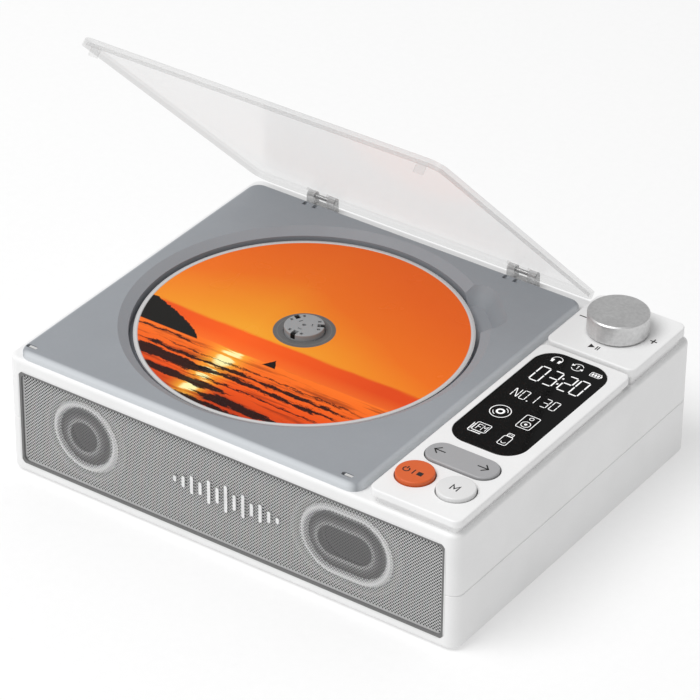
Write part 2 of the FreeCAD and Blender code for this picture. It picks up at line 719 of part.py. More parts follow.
def hinge_brackets():
    """Clear brackets behind the deck, each with two ears."""
    brackets = []
    for x in HINGE_XS:
        parts = [box(x - 6.0, x + 6.0, HINGE_Y - KNUCKLE_R, HINGE_Y + KNUCKLE_R, BODY_TOP, 49.0)]
        for ear in (x - 6.0, x + 2.8):
            parts.append(box(ear, ear + 3.2, HINGE_Y - KNUCKLE_R, HINGE_Y + KNUCKLE_R, BODY_TOP, HINGE_Z))
            parts.append(rod(KNUCKLE_R, 3.2, V(ear, HINGE_Y, HINGE_Z), X_DIR))
        bracket = join(parts)
        brackets.append(bracket.cut(rod(0.8, 14, V(x - 7, HINGE_Y, HINGE_Z), X_DIR)))
    return brackets


def hinge_pins():
    """Steel pin through each hinge."""
    return [rod(0.8, 12.0, V(x - 6.0, HINGE_Y, HINGE_Z), X_DIR) for x in HINGE_XS]


def lid_sensor():
    """Sensor under the right catch slot that tells when the lid is shut."""
    return box(CATCH_XS[1] - 3.0, CATCH_XS[1] + 3.0, CATCH_Y, CATCH_Y + 3.5, 43.0, BODY_TOP - WALL)


def panel_slab(x0, x1, y0, y1, bottom, top):
    """Slab with rounded edges on a hollow plinth that is set in from it."""
    slab = rounded_box(x0, x1, y0, y1, bottom, top, PANEL_CORNER_R)
    slab = round_at_height(slab, top, PANEL_EDGE_R)
    slab = round_at_height(slab, bottom, PANEL_EDGE_R)
    inset = PLINTH_INSET
    plinth_r = PANEL_CORNER_R - inset
    plinth = rounded_box(x0 + inset, x1 - inset, y0 + inset, y1 - inset, BODY_TOP, bottom + 0.2, plinth_r)
    inset += PLINTH_WALL
    plinth = plinth.cut(rounded_box(x0 + inset, x1 - inset, y0 + inset, y1 - inset, BODY_TOP - 1, bottom, 0.9))
    return slab.fuse(plinth)


def stadium(x, y, half_l, r, z0, z1):
    """Block with round ends, long in X."""
    return rounded_box(x - half_l, x + half_l, y - r, y + r, z0, z1, r * 0.999)


def control_panel():
    """Panel with the display recess, the button holes and the rocker's ears."""
    panel = panel_slab(PANEL_X0, PANEL_X1, PANEL_Y0, PANEL_Y1, PANEL_BOTTOM, PANEL_TOP)
    x0, x1, y0, y1 = WINDOW
    tools = [rounded_box(x0 - 0.1, x1 + 0.1, y0 - 0.1, y1 + 0.1, PANEL_TOP + 0.1 - WINDOW_T, PANEL_TOP + 1, WINDOW_R)]
    tools.append(box(62.4, 87.6, -28.2, 27.8, PANEL_BOTTOM - 1, PANEL_TOP))
    for x, y in (POWER_BUTTON, MODE_BUTTON):
        tools.append(post(BUTTON_R + BUTTON_GAP, x, y, PANEL_BOTTOM - 1, PANEL_TOP + 1))
    half_l = ROCKER_HALF_L + ROCKER_GAP
    tools.append(stadium(ROCKER_X, ROCKER_Y, half_l, ROCKER_R + ROCKER_GAP, PANEL_BOTTOM - 1, PANEL_TOP + 1))
    body = cut_all(panel, tools)
    ears = []
    for y in (ROCKER_Y - 8.4, ROCKER_Y + 6.9):
        ear = box(ROCKER_X - 2.0, ROCKER_X + 2.0, y, y + 1.5, 46.9, PANEL_BOTTOM + 0.2)
        ears.append(ear.cut(rod(1.0, 4, V(ROCKER_X, y - 1, ROCKER_AXLE_Z), Y_DIR)))
    return body.fuse(ears)


def knob_plate():
    """Raised plate that carries the volume knob."""
    plate = panel_slab(*KNOB_PLATE, KNOB_PLATE_BOTTOM, KNOB_PLATE_TOP)
    return plate.cut(post(4.2, KNOB_X, KNOB_Y, KNOB_PLATE_BOTTOM - 1, KNOB_PLATE_TOP + 1))


def display_window():
    """Dark glass over the display."""
    x0, x1, y0, y1 = WINDOW
    glass = rounded_box(x0, x1, y0, y1, PANEL_TOP + 0.1 - WINDOW_T, PANEL_TOP + 0.1, WINDOW_R)
    return bevel_at_height(glass, PANEL_TOP + 0.1, 0.15)


def display_module():
    """Light-emitting display behind the glass."""
    return box(63.0, 87.0, -27.6, 27.2, 49.0, PANEL_TOP + 0.1 - WINDOW_T)


def round_button(x, y):
    """Button cap with a narrower core, two retaining tabs and a stem."""
    cap = round_at_height(post(BUTTON_R, x, y, 51.1, BUTTON_TOP), BUTTON_TOP, 0.5)
    core = post(5.0, x, y, 49.0, 51.2)
    tabs = box(x - 2.0, x + 2.0, y - BUTTON_R - 0.9, y + BUTTON_R + 0.9, 49.0, 49.6)
    return join([cap, core, tabs, post(1.8, x, y, 47.9, 49.1)])


def power_button():
    """Left round button."""
    return round_button(*POWER_BUTTON)


def mode_button():
    """Right round button."""
    return round_button(*MODE_BUTTON)


def track_rocker():
    """Long rocker key on its axle, with one plunger at each end."""
    cap = stadium(ROCKER_X, ROCKER_Y, ROCKER_HALF_L, ROCKER_R, 50.9, ROCKER_TOP)
    cap = round_at_height(cap, ROCKER_TOP, 0.6)
    core = stadium(ROCKER_X, ROCKER_Y, ROCKER_HALF_L - 1.6, ROCKER_R - 1.2, 49.0, 51.0)
    parts = [cap, core, box(ROCKER_X - 2.0, ROCKER_X + 2.0, ROCKER_Y - 5.0, ROCKER_Y + 5.0, 46.9, 49.2)]
    for side in (-1, 1):
        parts.append(post(1.5, ROCKER_X + side * ROCKER_PLUNGER_DX, ROCKER_Y, 47.9, 49.2))
    bore = rod(1.0 + SHAFT_CLEARANCE, 12, V(ROCKER_X, ROCKER_Y - 6, ROCKER_AXLE_Z), Y_DIR)
    return join(parts).cut(bore)


def rocker_axle():
    """Steel axle of the rocker."""
    return rod(1.0, 16.8, V(ROCKER_X, ROCKER_Y - 8.4, ROCKER_AXLE_Z), Y_DIR)


def volume_knob():
    """Turned knob with a chamfered top edge and a hollow underside."""
    outer = post(KNOB_R, KNOB_X, KNOB_Y, KNOB_BOTTOM, KNOB_TOP)
    outer = bevel_at_height(outer, KNOB_TOP, 0.45)
    hollow = post(9.2, KNOB_X, KNOB_Y, KNOB_BOTTOM - 1, 60.4)
    sleeve = post(4.6, KNOB_X, KNOB_Y, KNOB_BOTTOM + 0.2, 60.5)
    bore = post(3.0, KNOB_X, KNOB_Y, KNOB_BOTTOM - 1, 61.0)
    return outer.cut(hollow).fuse(sleeve).cut(bore)


def encoder_shaft():
    """Shaft that joins the knob to the encoder."""
    return post(3.0, KNOB_X, KNOB_Y, 48.2, 61.0)


def encoder_plunger():
    """Push contact under the shaft."""
    return post(3.5, KNOB_X, KNOB_Y, 46.8, 48.2)


def encoder_body():
    """Rotary encoder with a threaded bush."""
    block = box(KNOB_X - 6, KNOB_X + 6, KNOB_Y - 6, KNOB_Y + 6, CONTROL_BOARD_Z + BOARD_T, 50.4)
    bush = post(3.9, KNOB_X, KNOB_Y, 50.3, 54.0)
    chamber = post(3.9, KNOB_X, KNOB_Y, 45.6, 48.6)
    bore = post(3.0 + SHAFT_CLEARANCE, KNOB_X, KNOB_Y, 48.5, 55.0)
    return block.fuse(bush).cut(chamber).cut(bore)


ROCKER_SWITCHES = [(ROCKER_X + side * ROCKER_PLUNGER_DX, ROCKER_Y) for side in (-1, 1)]
SWITCH_SPOTS = [POWER_BUTTON, MODE_BUTTON] + ROCKER_SWITCHES


def tact_switches():
    """Push switches under the buttons and the rocker."""
    z0 = CONTROL_BOARD_Z + BOARD_T
    return [box(x - 2.6, x + 2.6, y - 2.6, y + 2.6, z0, 47.2) for x, y in SWITCH_SPOTS]


def control_board():
    """Circuit board under the control panel."""
    return box(62.0, 85.9, -66.0, 29.0, CONTROL_BOARD_Z, CONTROL_BOARD_Z + BOARD_T)


def knob_board():
    """Small circuit board that carries the encoder."""
    return box(KNOB_X - 12, KNOB_X + 12, KNOB_Y - 10, KNOB_Y + 10, CONTROL_BOARD_Z, CONTROL_BOARD_Z + BOARD_T)


def main_board():
    """Main circuit board with its chips."""
    board = box(-66.0, 18.0, 34.0, 71.0, MAIN_BOARD_Z, MAIN_BOARD_Z + BOARD_T)
    top = MAIN_BOARD_Z + BOARD_T - 0.1
    chips = [box(x, x + 12, 42.0, 54.0, top, top + 1.5) for x in (-56.0, -36.0, -14.0)]
    cans = [post(3.2, x, 48.0, top, top + 8.0) for x in (4.0, 12.0)]
    return join([board] + chips + cans)


def usb_c_port():
    """Charging socket on the main board."""
    x = USB_C_X
    shell = front_block(x - 4.6, x + 4.6, 9.6, 12.9, 1.5, 66.0, 73.6)
    mouth = front_block(x - 4.2, x + 4.2, 10.0, 12.5, 1.2, 67.0, 74.0)
    tongue = box(x - 3.2, x + 3.2, 66.5, 72.8, 10.9, 11.6)
    return shell.cut(mouth).fuse(tongue)


def usb_a_port():
    """Memory stick socket on the main board."""
    x = USB_A_X
    shell = front_block(x - 6.7, x + 6.7, 9.6, 15.4, 0.5, 60.0, 73.8)
    mouth = front_block(x - 6.3, x + 6.3, 10.0, 15.0, 0.3, 61.0, 74.0)
    tongue = box(x - 5.6, x + 5.6, 60.5, 72.0, 12.9, 14.6)
    return shell.cut(mouth).fuse(tongue)


def headphone_jack():
    """Headphone socket on the main board."""
    x = JACK_X
    block = box(x - 3.5, x + 3.5, 59.0, 71.5, 9.6, 15.6)
    nose = rod(3.1, 2.5, V(x, 71.4, PORT_Z), Y_DIR)
    return block.fuse(nose).cut(rod(1.8, 13.0, V(x, 61.0, PORT_Z), Y_DIR))


CELL_X0 = -38.0
CELL_YS = (-17.0, -37.0)


def battery_cells():
    """Two rechargeable cells side by side."""
    cells = []
    for y in CELL_YS:
        can = rod(CELL_R, CELL_L, V(CELL_X0, y, CELL_Z), X_DIR)
        cells.append(can.fuse(rod(3.0, 1.0, V(CELL_X0 + CELL_L, y, CELL_Z), X_DIR)))
    return cells


def battery_holder():
    """Open cradle for the cells."""
    y0 = CELL_YS[1] - CELL_R - 1.2
    y1 = CELL_YS[0] + CELL_R + 1.2
    x1 = CELL_X0 + CELL_L + 1.2
    cradle = box(CELL_X0 - 2.0, x1 + 2.0, y0, y1, FLOOR_TOP, 16.0)
    tools = [box(CELL_X0 - 0.2, x1, y0 + 1.2, y1 - 1.2, CELL_Z, 17.0)]
    for y in CELL_YS:
        tools.append(rod(CELL_R + 0.1, x1 - CELL_X0 + 0.2, V(CELL_X0 - 0.2, y, CELL_Z), X_DIR))
    return cut_all(cradle, tools)


NODES = {
    "lower_shell": lower_shell,
    "upper_shell": upper_shell,
    "rubber_feet": rubber_feet,
    "case_screws": case_screws,
    "grille_frame": grille_frame,
    "speaker_grille": speaker_grille,
    "grille_emblem": grille_emblem,
    "speaker_baffle": speaker_baffle,
    "left_speaker_frame": lambda: speaker_frame(LEFT_SPEAKER_X, LEFT_RINGS),
    "left_surround": lambda: speaker_surround(LEFT_SPEAKER_X, LEFT_RINGS),
    "left_cone": lambda: speaker_cone(LEFT_SPEAKER_X, LEFT_RINGS),
    "left_magnet": lambda: speaker_magnet(LEFT_SPEAKER_X),
    "right_speaker_frame": lambda: speaker_frame(RIGHT_SPEAKER_X, RIGHT_RINGS),
    "right_surround": lambda: speaker_surround(RIGHT_SPEAKER_X, RIGHT_RINGS),
    "right_cone": lambda: speaker_cone(RIGHT_SPEAKER_X, RIGHT_RINGS),
    "right_magnet": lambda: speaker_magnet(RIGHT_SPEAKER_X),
    "deck_plate": deck_plate,
    "disc_tray": disc_tray,
    "disc": disc,
    "spindle_hub": spindle_hub,
    "chuck_claws": chuck_claws,
    "spindle_motor": spindle_motor,
    "mech_chassis": mech_chassis,
    "chassis_dampers": chassis_dampers,
    "guide_rods": guide_rods,
    "laser_sled": laser_sled,
    "laser_lens": laser_lens,
    "sled_gear": sled_gear,
    "gear_pin": gear_pin,
    "sled_motor": sled_motor,
    "motor_pinion": motor_pinion,
    "lid": lid,
    "hinge_brackets": hinge_brackets,
    "hinge_pins": hinge_pins,
    "lid_sensor": lid_sensor,
    "control_panel": control_panel,
    "knob_plate": knob_plate,
    "display_window": display_window,
    "display_module": display_module,
    "power_button": power_button,
    "mode_button": mode_button,
    "track_rocker": track_rocker,
    "rocker_axle": rocker_axle,
    "volume_knob": volume_knob,
    "encoder_shaft": encoder_shaft,
    "encoder_plunger": encoder_plunger,
    "encoder_body": encoder_body,
    "tact_switches": tact_switches,
    "control_board": control_board,
    "knob_board": knob_board,
    "main_board": main_board,
    "usb_c_port": usb_c_port,
    "usb_a_port": usb_a_port,
    "headphone_jack": headphone_jack,
    "battery_cells": battery_cells,
    "battery_holder": battery_holder,
}


def write_nodes():
    """Build each node and write it as one STEP file."""
    os.makedirs("parts", exist_ok=True)
    for name, build in NODES.items():
        shape = build()
        if isinstance(shape, list):
            shape = Part.makeCompound(shape)
        shape.exportStep("parts/%s.step" % name)


write_nodes()
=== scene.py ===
import math
import bpy
import bmesh
from mathutils import Matrix, Vector


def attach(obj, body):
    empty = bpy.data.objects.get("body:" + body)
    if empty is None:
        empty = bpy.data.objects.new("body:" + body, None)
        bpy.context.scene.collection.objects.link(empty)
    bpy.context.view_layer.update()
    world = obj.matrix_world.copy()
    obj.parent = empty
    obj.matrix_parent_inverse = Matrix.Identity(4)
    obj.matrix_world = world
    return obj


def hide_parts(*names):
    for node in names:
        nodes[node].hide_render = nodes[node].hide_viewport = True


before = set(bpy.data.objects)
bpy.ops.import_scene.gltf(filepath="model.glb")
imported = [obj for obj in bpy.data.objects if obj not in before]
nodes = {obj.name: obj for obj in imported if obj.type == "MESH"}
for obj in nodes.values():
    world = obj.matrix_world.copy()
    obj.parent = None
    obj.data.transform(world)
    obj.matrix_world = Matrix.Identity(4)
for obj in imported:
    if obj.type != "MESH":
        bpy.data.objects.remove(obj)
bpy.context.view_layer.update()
MM = 0.001


# ---------------------------------------------------------------- shader helpers
def linear(value):
    """Linear light of one sRGB display value."""
    return value / 12.92 if value <= 0.04045 else ((value + 0.055) / 1.055) ** 2.4


def tone(red, green, blue):
    """Opaque linear colour from display values between 0 and 1."""
    return linear(red), linear(green), linear(blue), 1.0


def grey(level):
    return tone(level, level, level)


class Shader:
    """A material under construction, with short names for its nodes."""

    def __init__(self, name, colour, roughness, **sockets):
        self.material = bpy.data.materials.new(name)
        self.material.use_nodes = True
        self.tree = self.material.node_tree
        self.surface = self.tree.nodes["Principled BSDF"]
        self.surface.inputs["Base Color"].default_value = colour
        self.surface.inputs["Roughness"].default_value = roughness
        for socket, value in sockets.items():
            self.surface.inputs[socket.replace("_", " ")].default_value = value
        self.place = self.node("ShaderNodeTexCoord").outputs["Object"]

    def node(self, kind, **settings):
        made = self.tree.nodes.new(kind)
        for key, value in settings.items():
            setattr(made, key, value)
        return made

    def put(self, socket, value):
        """Connect an output, or set a constant."""
        if isinstance(value, bpy.types.NodeSocket):
            self.tree.links.new(value, socket)
        else:
            socket.default_value = value

    def math(self, operation, a, b=0.0, c=0.0, clamp=False):
        made = self.node("ShaderNodeMath", operation=operation, use_clamp=clamp)
        for socket, value in zip(made.inputs, (a, b, c)):
            self.put(socket, value)
        return made.outputs[0]

    def mix(self, factor, a, b):
        made = self.node("ShaderNodeMix", data_type="RGBA")
        self.put(made.inputs["Factor"], factor)
        self.put(made.inputs["A"], a)
        self.put(made.inputs["B"], b)
        return made.outputs["Result"]

    def scaled(self, factors):
        """The object's own coordinates, stretched along its axes."""
        made = self.node("ShaderNodeMapping")
        self.put(made.inputs["Vector"], self.place)
        made.inputs["Scale"].default_value = factors
        return made.outputs[0]

    def noise(self, scale, detail=2.0, vector=None, roughness=0.5):
        made = self.node("ShaderNodeTexNoise")
        self.put(made.inputs["Vector"], vector or self.place)
        made.inputs["Scale"].default_value = scale
        made.inputs["Detail"].default_value = detail
        made.inputs["Roughness"].default_value = roughness
        return made.outputs["Fac"]

    def span(self, value, low, high, to_low=0.0, to_high=1.0, smooth=False):
        """Map a range of values to another one, held at its ends."""
        made = self.node("ShaderNodeMapRange", clamp=True)
        if smooth:
            made.interpolation_type = "SMOOTHSTEP"
        for socket, number in zip(made.inputs, (value, low, high, to_low, to_high)):
            self.put(socket, number)
        return made.outputs[0]

    def ramp(self, value, stops):
        made = self.node("ShaderNodeValToRGB")
        self.put(made.inputs[0], value)
        points = made.color_ramp.elements
        while len(points) < len(stops):
            points.new(0.5)
        for point, (position, colour) in zip(points, stops):
            point.position = position
            point.color = colour
        return made.outputs[0]

    def axes(self, vector=None):
        made = self.node("ShaderNodeSeparateXYZ")
        self.put(made.inputs[0], vector or self.place)
        return made.outputs

    def bell(self, value):
        """One at zero, falling away smoothly on both sides."""
        square = self.math("MULTIPLY", value, value)
        return self.math("EXPONENT", self.math("MULTIPLY", square, -1.0))

    def distance(self, a, b):
        """Length of a step by a and b at right angles."""
        squares = (self.math("MULTIPLY", a, a), self.math("MULTIPLY", b, b))
        return self.math("SQRT", self.math("ADD", *squares))

    def inset(self, u, v, edges):
        """Depth inside the nearest side of a rectangle, whose low and high U and V are in millimetres."""
        gaps = []
        for value, low, high in ((u, *edges[:2]), (v, *edges[2:])):
            gaps.append(self.math("SUBTRACT", value, low * MM))
            gaps.append(self.math("SUBTRACT", high * MM, value))
        nearest = gaps[0]
        for gap in gaps[1:]:
            nearest = self.math("MINIMUM", nearest, gap)
        return nearest

    def bump(self, height, distance, strength):
        made = self.node("ShaderNodeBump")
        made.inputs["Distance"].default_value = distance
        made.inputs["Strength"].default_value = strength
        self.put(made.inputs["Height"], height)
        return made.outputs[0]

    def finish(self, colour, roughness, normal):
        for name, value in (("Base Color", colour), ("Roughness", roughness), ("Normal", normal)):
            self.put(self.surface.inputs[name], value)
        return self.material


def shade(colour, factor):
    return tuple(c * factor for c in colour[:3]) + (1.0,)


def moulded(name, colour, roughness, grain=1600.0, depth=0.00002, mottle=0.04, **sockets):
    """Moulded plastic or rubber: fine spark-eroded grain, faint flow mottling and uneven gloss."""
    s = Shader(name, colour, roughness, **sockets)
    cloud = s.noise(38.0, 3.0)
    fine = s.noise(grain, 2.0)
    tint = s.mix(s.span(cloud, 0.3, 0.7), shade(colour, 1 - mottle), shade(colour, 1 + mottle * 0.4))
    tint = s.mix(s.span(fine, 0.35, 0.75, 0.0, 0.12), tint, shade(colour, 0.86))
    gloss = s.span(s.noise(220.0, 2.0), 0.3, 0.7, roughness * 0.92, min(1.0, roughness * 1.1))
    pits = s.math("ADD", s.math("MULTIPLY", fine, 0.7), s.math("MULTIPLY", s.noise(grain * 2.3, 1.0), 0.3))
    return s.finish(tint, gloss, s.bump(pits, depth, 0.6))


def metal(name, colour, roughness, stretch=(1.0, 1.0, 1.0), depth=0.000004, **sockets):
    """Metal with fine grinding lines along one direction and a slightly uneven tone."""
    s = Shader(name, colour, roughness, Metallic=1.0, **sockets)
    lines = s.noise(900.0, 3.0, s.scaled(stretch))
    tint = s.mix(s.span(lines, 0.3, 0.7), shade(colour, 0.9), shade(colour, 1.05))
    gloss = s.span(s.noise(150.0, 2.0), 0.3, 0.7, roughness * 0.85, roughness * 1.15)
    return s.finish(tint, gloss, s.bump(lines, depth, 0.5))


# ---------------------------------------------------------------- disc, from its own axis in millimetres
DISC_X, DISC_Y = -19.0, -1.4
DISC_PRINT_R = (11.1, 58.4)
PRINT_EDGE = 0.1
CLAMP_RING_R = 9.6
MIRROR_R = (40.0, 41.0)
DISC_SIDES_Z = (46.8, 46.95)
# printed seascape: U runs to the right and V to the rear of the axis
SUN_U = -16.0
GLITTER_U = -11.5
GLITTER_V = -33.0
HAZE_TOP = -12.4
HORIZON = -24.6
HEADLAND_U = (-27.0, -55.0)
HEADLAND_LOW = -27.0
HEADLAND_RISE = 15.2
HEADLAND_SHORE = -26.4
ROCK_U = 3.4
ROCK_TOP = -21.4
ROCK_SHORE = -26.3
SKY = (
    (0.0, (0.96, 0.64, 0.17)),
    (0.24, (0.95, 0.57, 0.14)),
    (0.55, (0.94, 0.45, 0.11)),
    (1.0, (0.93, 0.40, 0.11)),
)
HAZE = ((0.0, (0.98, 0.38, 0.10)), (1.0, (0.88, 0.29, 0.09)))
SEA = ((0.0, (0.72, 0.20, 0.06)), (0.45, (0.93, 0.33, 0.08)), (1.0, (0.99, 0.47, 0.14)))
SKYLINE_GLOW = tone(0.99, 0.55, 0.20)
WAVE_SHADOW = tone(0.42, 0.10, 0.04)
GLITTER_GOLD = tone(1.0, 0.76, 0.24)
GLITTER_WHITE = tone(1.0, 0.97, 0.70)
WET_SAND = tone(0.09, 0.04, 0.04)
HEADLAND_DARK = tone(0.10, 0.095, 0.085)
ROCK_DARK = tone(0.10, 0.06, 0.05)
# dark bands on the printed sea: middle, half height, left end and right end
SEA_BANDS = (
    (-28.6, 0.5, -52, -28),
    (-32.6, 0.3, -34, 44),
    (-36.0, 0.9, -42, 40),
    (-41.0, 2.8, -46, -14),
    (-39.8, 1.0, -18, 38),
    (-44.6, 0.4, -14, 36),
    (-48.4, 1.6, -34, -2),
    (-52.8, 1.9, -6, 24),
    (-57.6, 1.5, -16, 10),
)


def display_stops(stops):
    """Stops of a ramp, from colours in display values."""
    return [(position, tone(*colour)) for position, colour in stops]


def land(s, v, line, shore):
    """Everything between a crest line and the shore."""
    below = s.span(s.math("SUBTRACT", line, v), 0.0, 0.3)
    return s.math("MULTIPLY", below, s.span(v, shore, shore + 0.4))


def sea_picture(s, u, v):
    """Sea, lighter under the sun and broken by long wave shadows."""
    sea = s.ramp(s.span(v, -60.0, -24.0), display_stops(SEA))
    ripple = s.noise(420.0, 4.0, s.scaled((0.10, 1.0, 1.0)), 0.6)
    sea = s.mix(s.span(ripple, 0.5, 0.66, 0.0, 0.6), sea, WAVE_SHADOW)
    width = s.span(v, -58.0, -25.0, 5.0, 7.0)
    track = s.bell(s.math("DIVIDE", s.math("SUBTRACT", u, GLITTER_U), width))
    unbroken = s.bell(s.math("MULTIPLY", s.math("SUBTRACT", v, GLITTER_V), 0.16))
    broken = s.span(ripple, 0.60, 0.44, 0.25, 1.1)
    core = s.math("MULTIPLY", track, s.math("MAXIMUM", broken, unbroken))
    sea = s.mix(s.math("MULTIPLY", core, 0.9, clamp=True), sea, GLITTER_GOLD)
    return s.mix(s.span(core, 0.66, 0.98, smooth=True), sea, GLITTER_WHITE)


def sky_picture(s, u, v):
    """Warm sky, redder away from the sun and upwards, over a band of haze."""
    away = s.math("ABSOLUTE", s.math("SUBTRACT", u, SUN_U))
    drift = s.math("MULTIPLY_ADD", s.noise(14.0, 3.0, s.scaled((1.0, 3.0, 1.0))), 14.0, -7.0)
    level = s.math("ADD", s.math("MULTIPLY_ADD", away, 0.45, v), drift)
    sky = s.ramp(s.span(level, -12.0, 62.0), display_stops(SKY))
    haze = s.ramp(s.span(away, 0.0, 60.0), display_stops(HAZE))
    haze = s.mix(s.span(v, -24.5, -18.0, 0.35, 0.0), haze, SKYLINE_GLOW)
    wisps = s.math("MULTIPLY_ADD", s.noise(160.0, 4.0, s.scaled((0.35, 1.0, 1.0))), 2.4, -1.2)
    above = s.math("ADD", v, wisps)
    return s.mix(s.span(above, HAZE_TOP - 1.0, HAZE_TOP + 1.0, smooth=True), haze, sky)


def disc_material():
    """Silver disc with a printed evening seascape between the clamping ring and the rim."""
    looks = {"Coat_Weight": 0.05, "Coat_Roughness": 0.08, "Specular_IOR_Level": 0.1}
    s = Shader("disc_print", grey(0.8), 0.3, **looks)
    x, y, z = s.axes()
    u = s.math("MULTIPLY_ADD", x, 1000.0, -DISC_X)
    v = s.math("MULTIPLY_ADD", y, 1000.0, -DISC_Y)
    radius = s.distance(u, v)
    picture = s.mix(s.span(v, HORIZON - 0.3, HORIZON + 0.3), sea_picture(s, u, v), sky_picture(s, u, v))

    # breakers and wet sand: dark bands with ragged edges
    ragged = s.math("MULTIPLY_ADD", s.noise(420.0, 7.0, s.scaled((0.3, 1.0, 1.0)), 0.78), 6.4, -3.2)
    slow = s.math("MULTIPLY_ADD", s.noise(60.0, 2.0, s.scaled((0.6, 1.0, 1.0))), 3.0, -1.5)
    wavy = s.math("ADD", s.math("ADD", v, ragged), slow)
    for middle, half, left, right in SEA_BANDS:
        across = s.math("SUBTRACT", half, s.math("ABSOLUTE", s.math("SUBTRACT", wavy, middle)))
        ends = (s.span(u, left - 10, left + 4, -0.6, 1.0), s.span(u, right + 14, right - 6, -0.6, 1.0))
        inside = s.math("MINIMUM", *ends)
        band = s.span(s.math("ADD", across, s.math("MULTIPLY_ADD", inside, half, -half)), -0.2, 0.2)
        picture = s.mix(s.math("MULTIPLY", band, 0.97), picture, WET_SAND)

    # headland on the left and a lone rock on the skyline
    crest = s.math("MULTIPLY_ADD", s.noise(520.0, 5.0, s.scaled((1.0, 0.0, 0.0)), 0.65), 3.6, -1.8)
    shoulder = s.math("POWER", s.span(u, *HEADLAND_U), 0.62)
    slope = s.math("MULTIPLY_ADD", shoulder, HEADLAND_RISE, HEADLAND_LOW)
    crest_line = s.math("ADD", slope, s.math("MULTIPLY", crest, s.span(u, -26.0, -31.0)))
    picture = s.mix(land(s, v, crest_line, HEADLAND_SHORE), picture, HEADLAND_DARK)
    beside = s.math("ABSOLUTE", s.math("SUBTRACT", u, ROCK_U))
    rock_line = s.math("ADD", s.math("MULTIPLY_ADD", beside, -1.7, ROCK_TOP), s.math("MULTIPLY", crest, 0.7))
    picture = s.mix(land(s, v, rock_line, ROCK_SHORE), picture, ROCK_DARK)

    # rings: clamping area, print, mirror rim, and the silver side underneath
    inner, outer = DISC_PRINT_R
    off_ring = s.math("ABSOLUTE", s.math("SUBTRACT", radius, CLAMP_RING_R))
    ring = s.mix(s.span(off_ring, 0.0, 0.25), grey(0.46), grey(0.40))
    from_inner = s.span(radius, inner - PRINT_EDGE, inner + PRINT_EDGE)
    printed = s.math("MULTIPLY", from_inner, s.span(radius, outer + PRINT_EDGE, outer - PRINT_EDGE))
    rim = s.span(radius, *MIRROR_R)
    top = s.mix(printed, s.mix(rim, ring, grey(0.86)), picture)
    grooves = s.noise(90.0, 2.0)
    below = s.mix(s.span(grooves, 0.3, 0.7), tone(0.78, 0.80, 0.84), tone(0.86, 0.82, 0.86))
    upper = s.span(z, DISC_SIDES_Z[0] * MM, DISC_SIDES_Z[1] * MM)
    colour = s.mix(upper, below, top)
    metallic = s.math("MULTIPLY", s.math("SUBTRACT", 1.0, printed), rim)
    s.put(s.surface.inputs["Metallic"], s.math("MULTIPLY", metallic, 0.55))
    gloss = s.span(s.noise(60.0, 2.0), 0.3, 0.7, 0.2, 0.28)
    return s.finish(colour, gloss, s.bump(s.noise(900.0, 2.0), 0.000006, 0.4))


# ---------------------------------------------------------------- clear lid
# hinge line in Y and Z, angle drawn open, and the closed plate's low and high X and Y
HINGE = (69.4, 52.0)
LID_OPEN = math.radians(45.0)
LID_EDGES = (-90.8, 56.9, -76.0, 70.9)


def clear_material(name, colour, alpha, roughness, edge=None):
    """Clear moulded plastic, seen as a faint haze. The lid's turned-down rim looks denser than its plate."""
    s = Shader(name, colour, roughness, Alpha=alpha, Specular_IOR_Level=0.25)
    swirl = s.noise(26.0, 2.0)
    tint = s.mix(s.span(swirl, 0.3, 0.7), shade(colour, 0.985), shade(colour, 1.01))
    if edge:
        hinge = Vector((0.0, *HINGE)) * MM
        closed = s.node("ShaderNodeMapping")
        s.put(closed.inputs["Vector"], s.place)
        closed.inputs["Rotation"].default_value = (LID_OPEN, 0.0, 0.0)
        closed.inputs["Location"].default_value = hinge - Matrix.Rotation(LID_OPEN, 3, "X") @ hinge
        x, y, _ = s.axes(closed.outputs[0])
        inset = s.inset(x, y, LID_EDGES)
        tint = s.mix(s.span(inset, 1.1 * MM, 1.5 * MM), edge, tint)
    gloss = s.span(s.noise(2600.0, 1.0), 0.3, 0.75, roughness * 0.8, roughness * 1.3)
    return s.finish(tint, gloss, s.bump(swirl, 0.00002, 0.15))


# the deck plate's low and high X and Y
DECK_EDGES = (-90.2, 53.4, -72.9, 67.4)


def deck_material():
    """Matt blue-grey deck plastic with a paler band round the plate's outer edge."""
    colour = tone(0.585, 0.600, 0.620)
    s = Shader("deck_grey", colour, 0.55)
    x, y, _ = s.axes()
    inset = s.inset(x, y, DECK_EDGES)
    fine = s.noise(1300.0, 2.0)
    tint = s.mix(s.span(s.noise(38.0, 3.0), 0.3, 0.7), shade(colour, 0.97), shade(colour, 1.02))
    tint = s.mix(s.span(fine, 0.35, 0.75, 0.0, 0.12), tint, shade(colour, 0.86))
    tint = s.mix(s.span(inset, 1.7 * MM, 0.1 * MM), tint, tone(0.80, 0.815, 0.83))
    return s.finish(tint, s.span(s.noise(220.0, 2.0), 0.3, 0.7, 0.5, 0.6), s.bump(fine, 0.00003, 0.6))


# painted shade and painted highlight rings on the perforated sheet, standing in for the drivers seen through
# it: distance from a driver's middle line, brightness
PAINTED_RING_TONES = (
    (0.0, 0.30), (5.5, 0.30), (6.1, 0.80), (6.8, 0.80), (7.6, 0.50), (9.6, 0.33),
    (11.2, 0.38), (12.1, 1.0), (12.9, 1.32), (13.5, 0.85), (15.2, 0.92), (16.0, 1.0),
)
DRIVER_SPAN = 18.0
LEFT_X, RIGHT_X = -61.5, 48.5
# each driver's X and half the length of its middle line, and the height of its painted rings on the sheet
DRIVERS = ((LEFT_X, 0.0), (RIGHT_X, 5.2))
PAINTED_RING_Z = 24.9


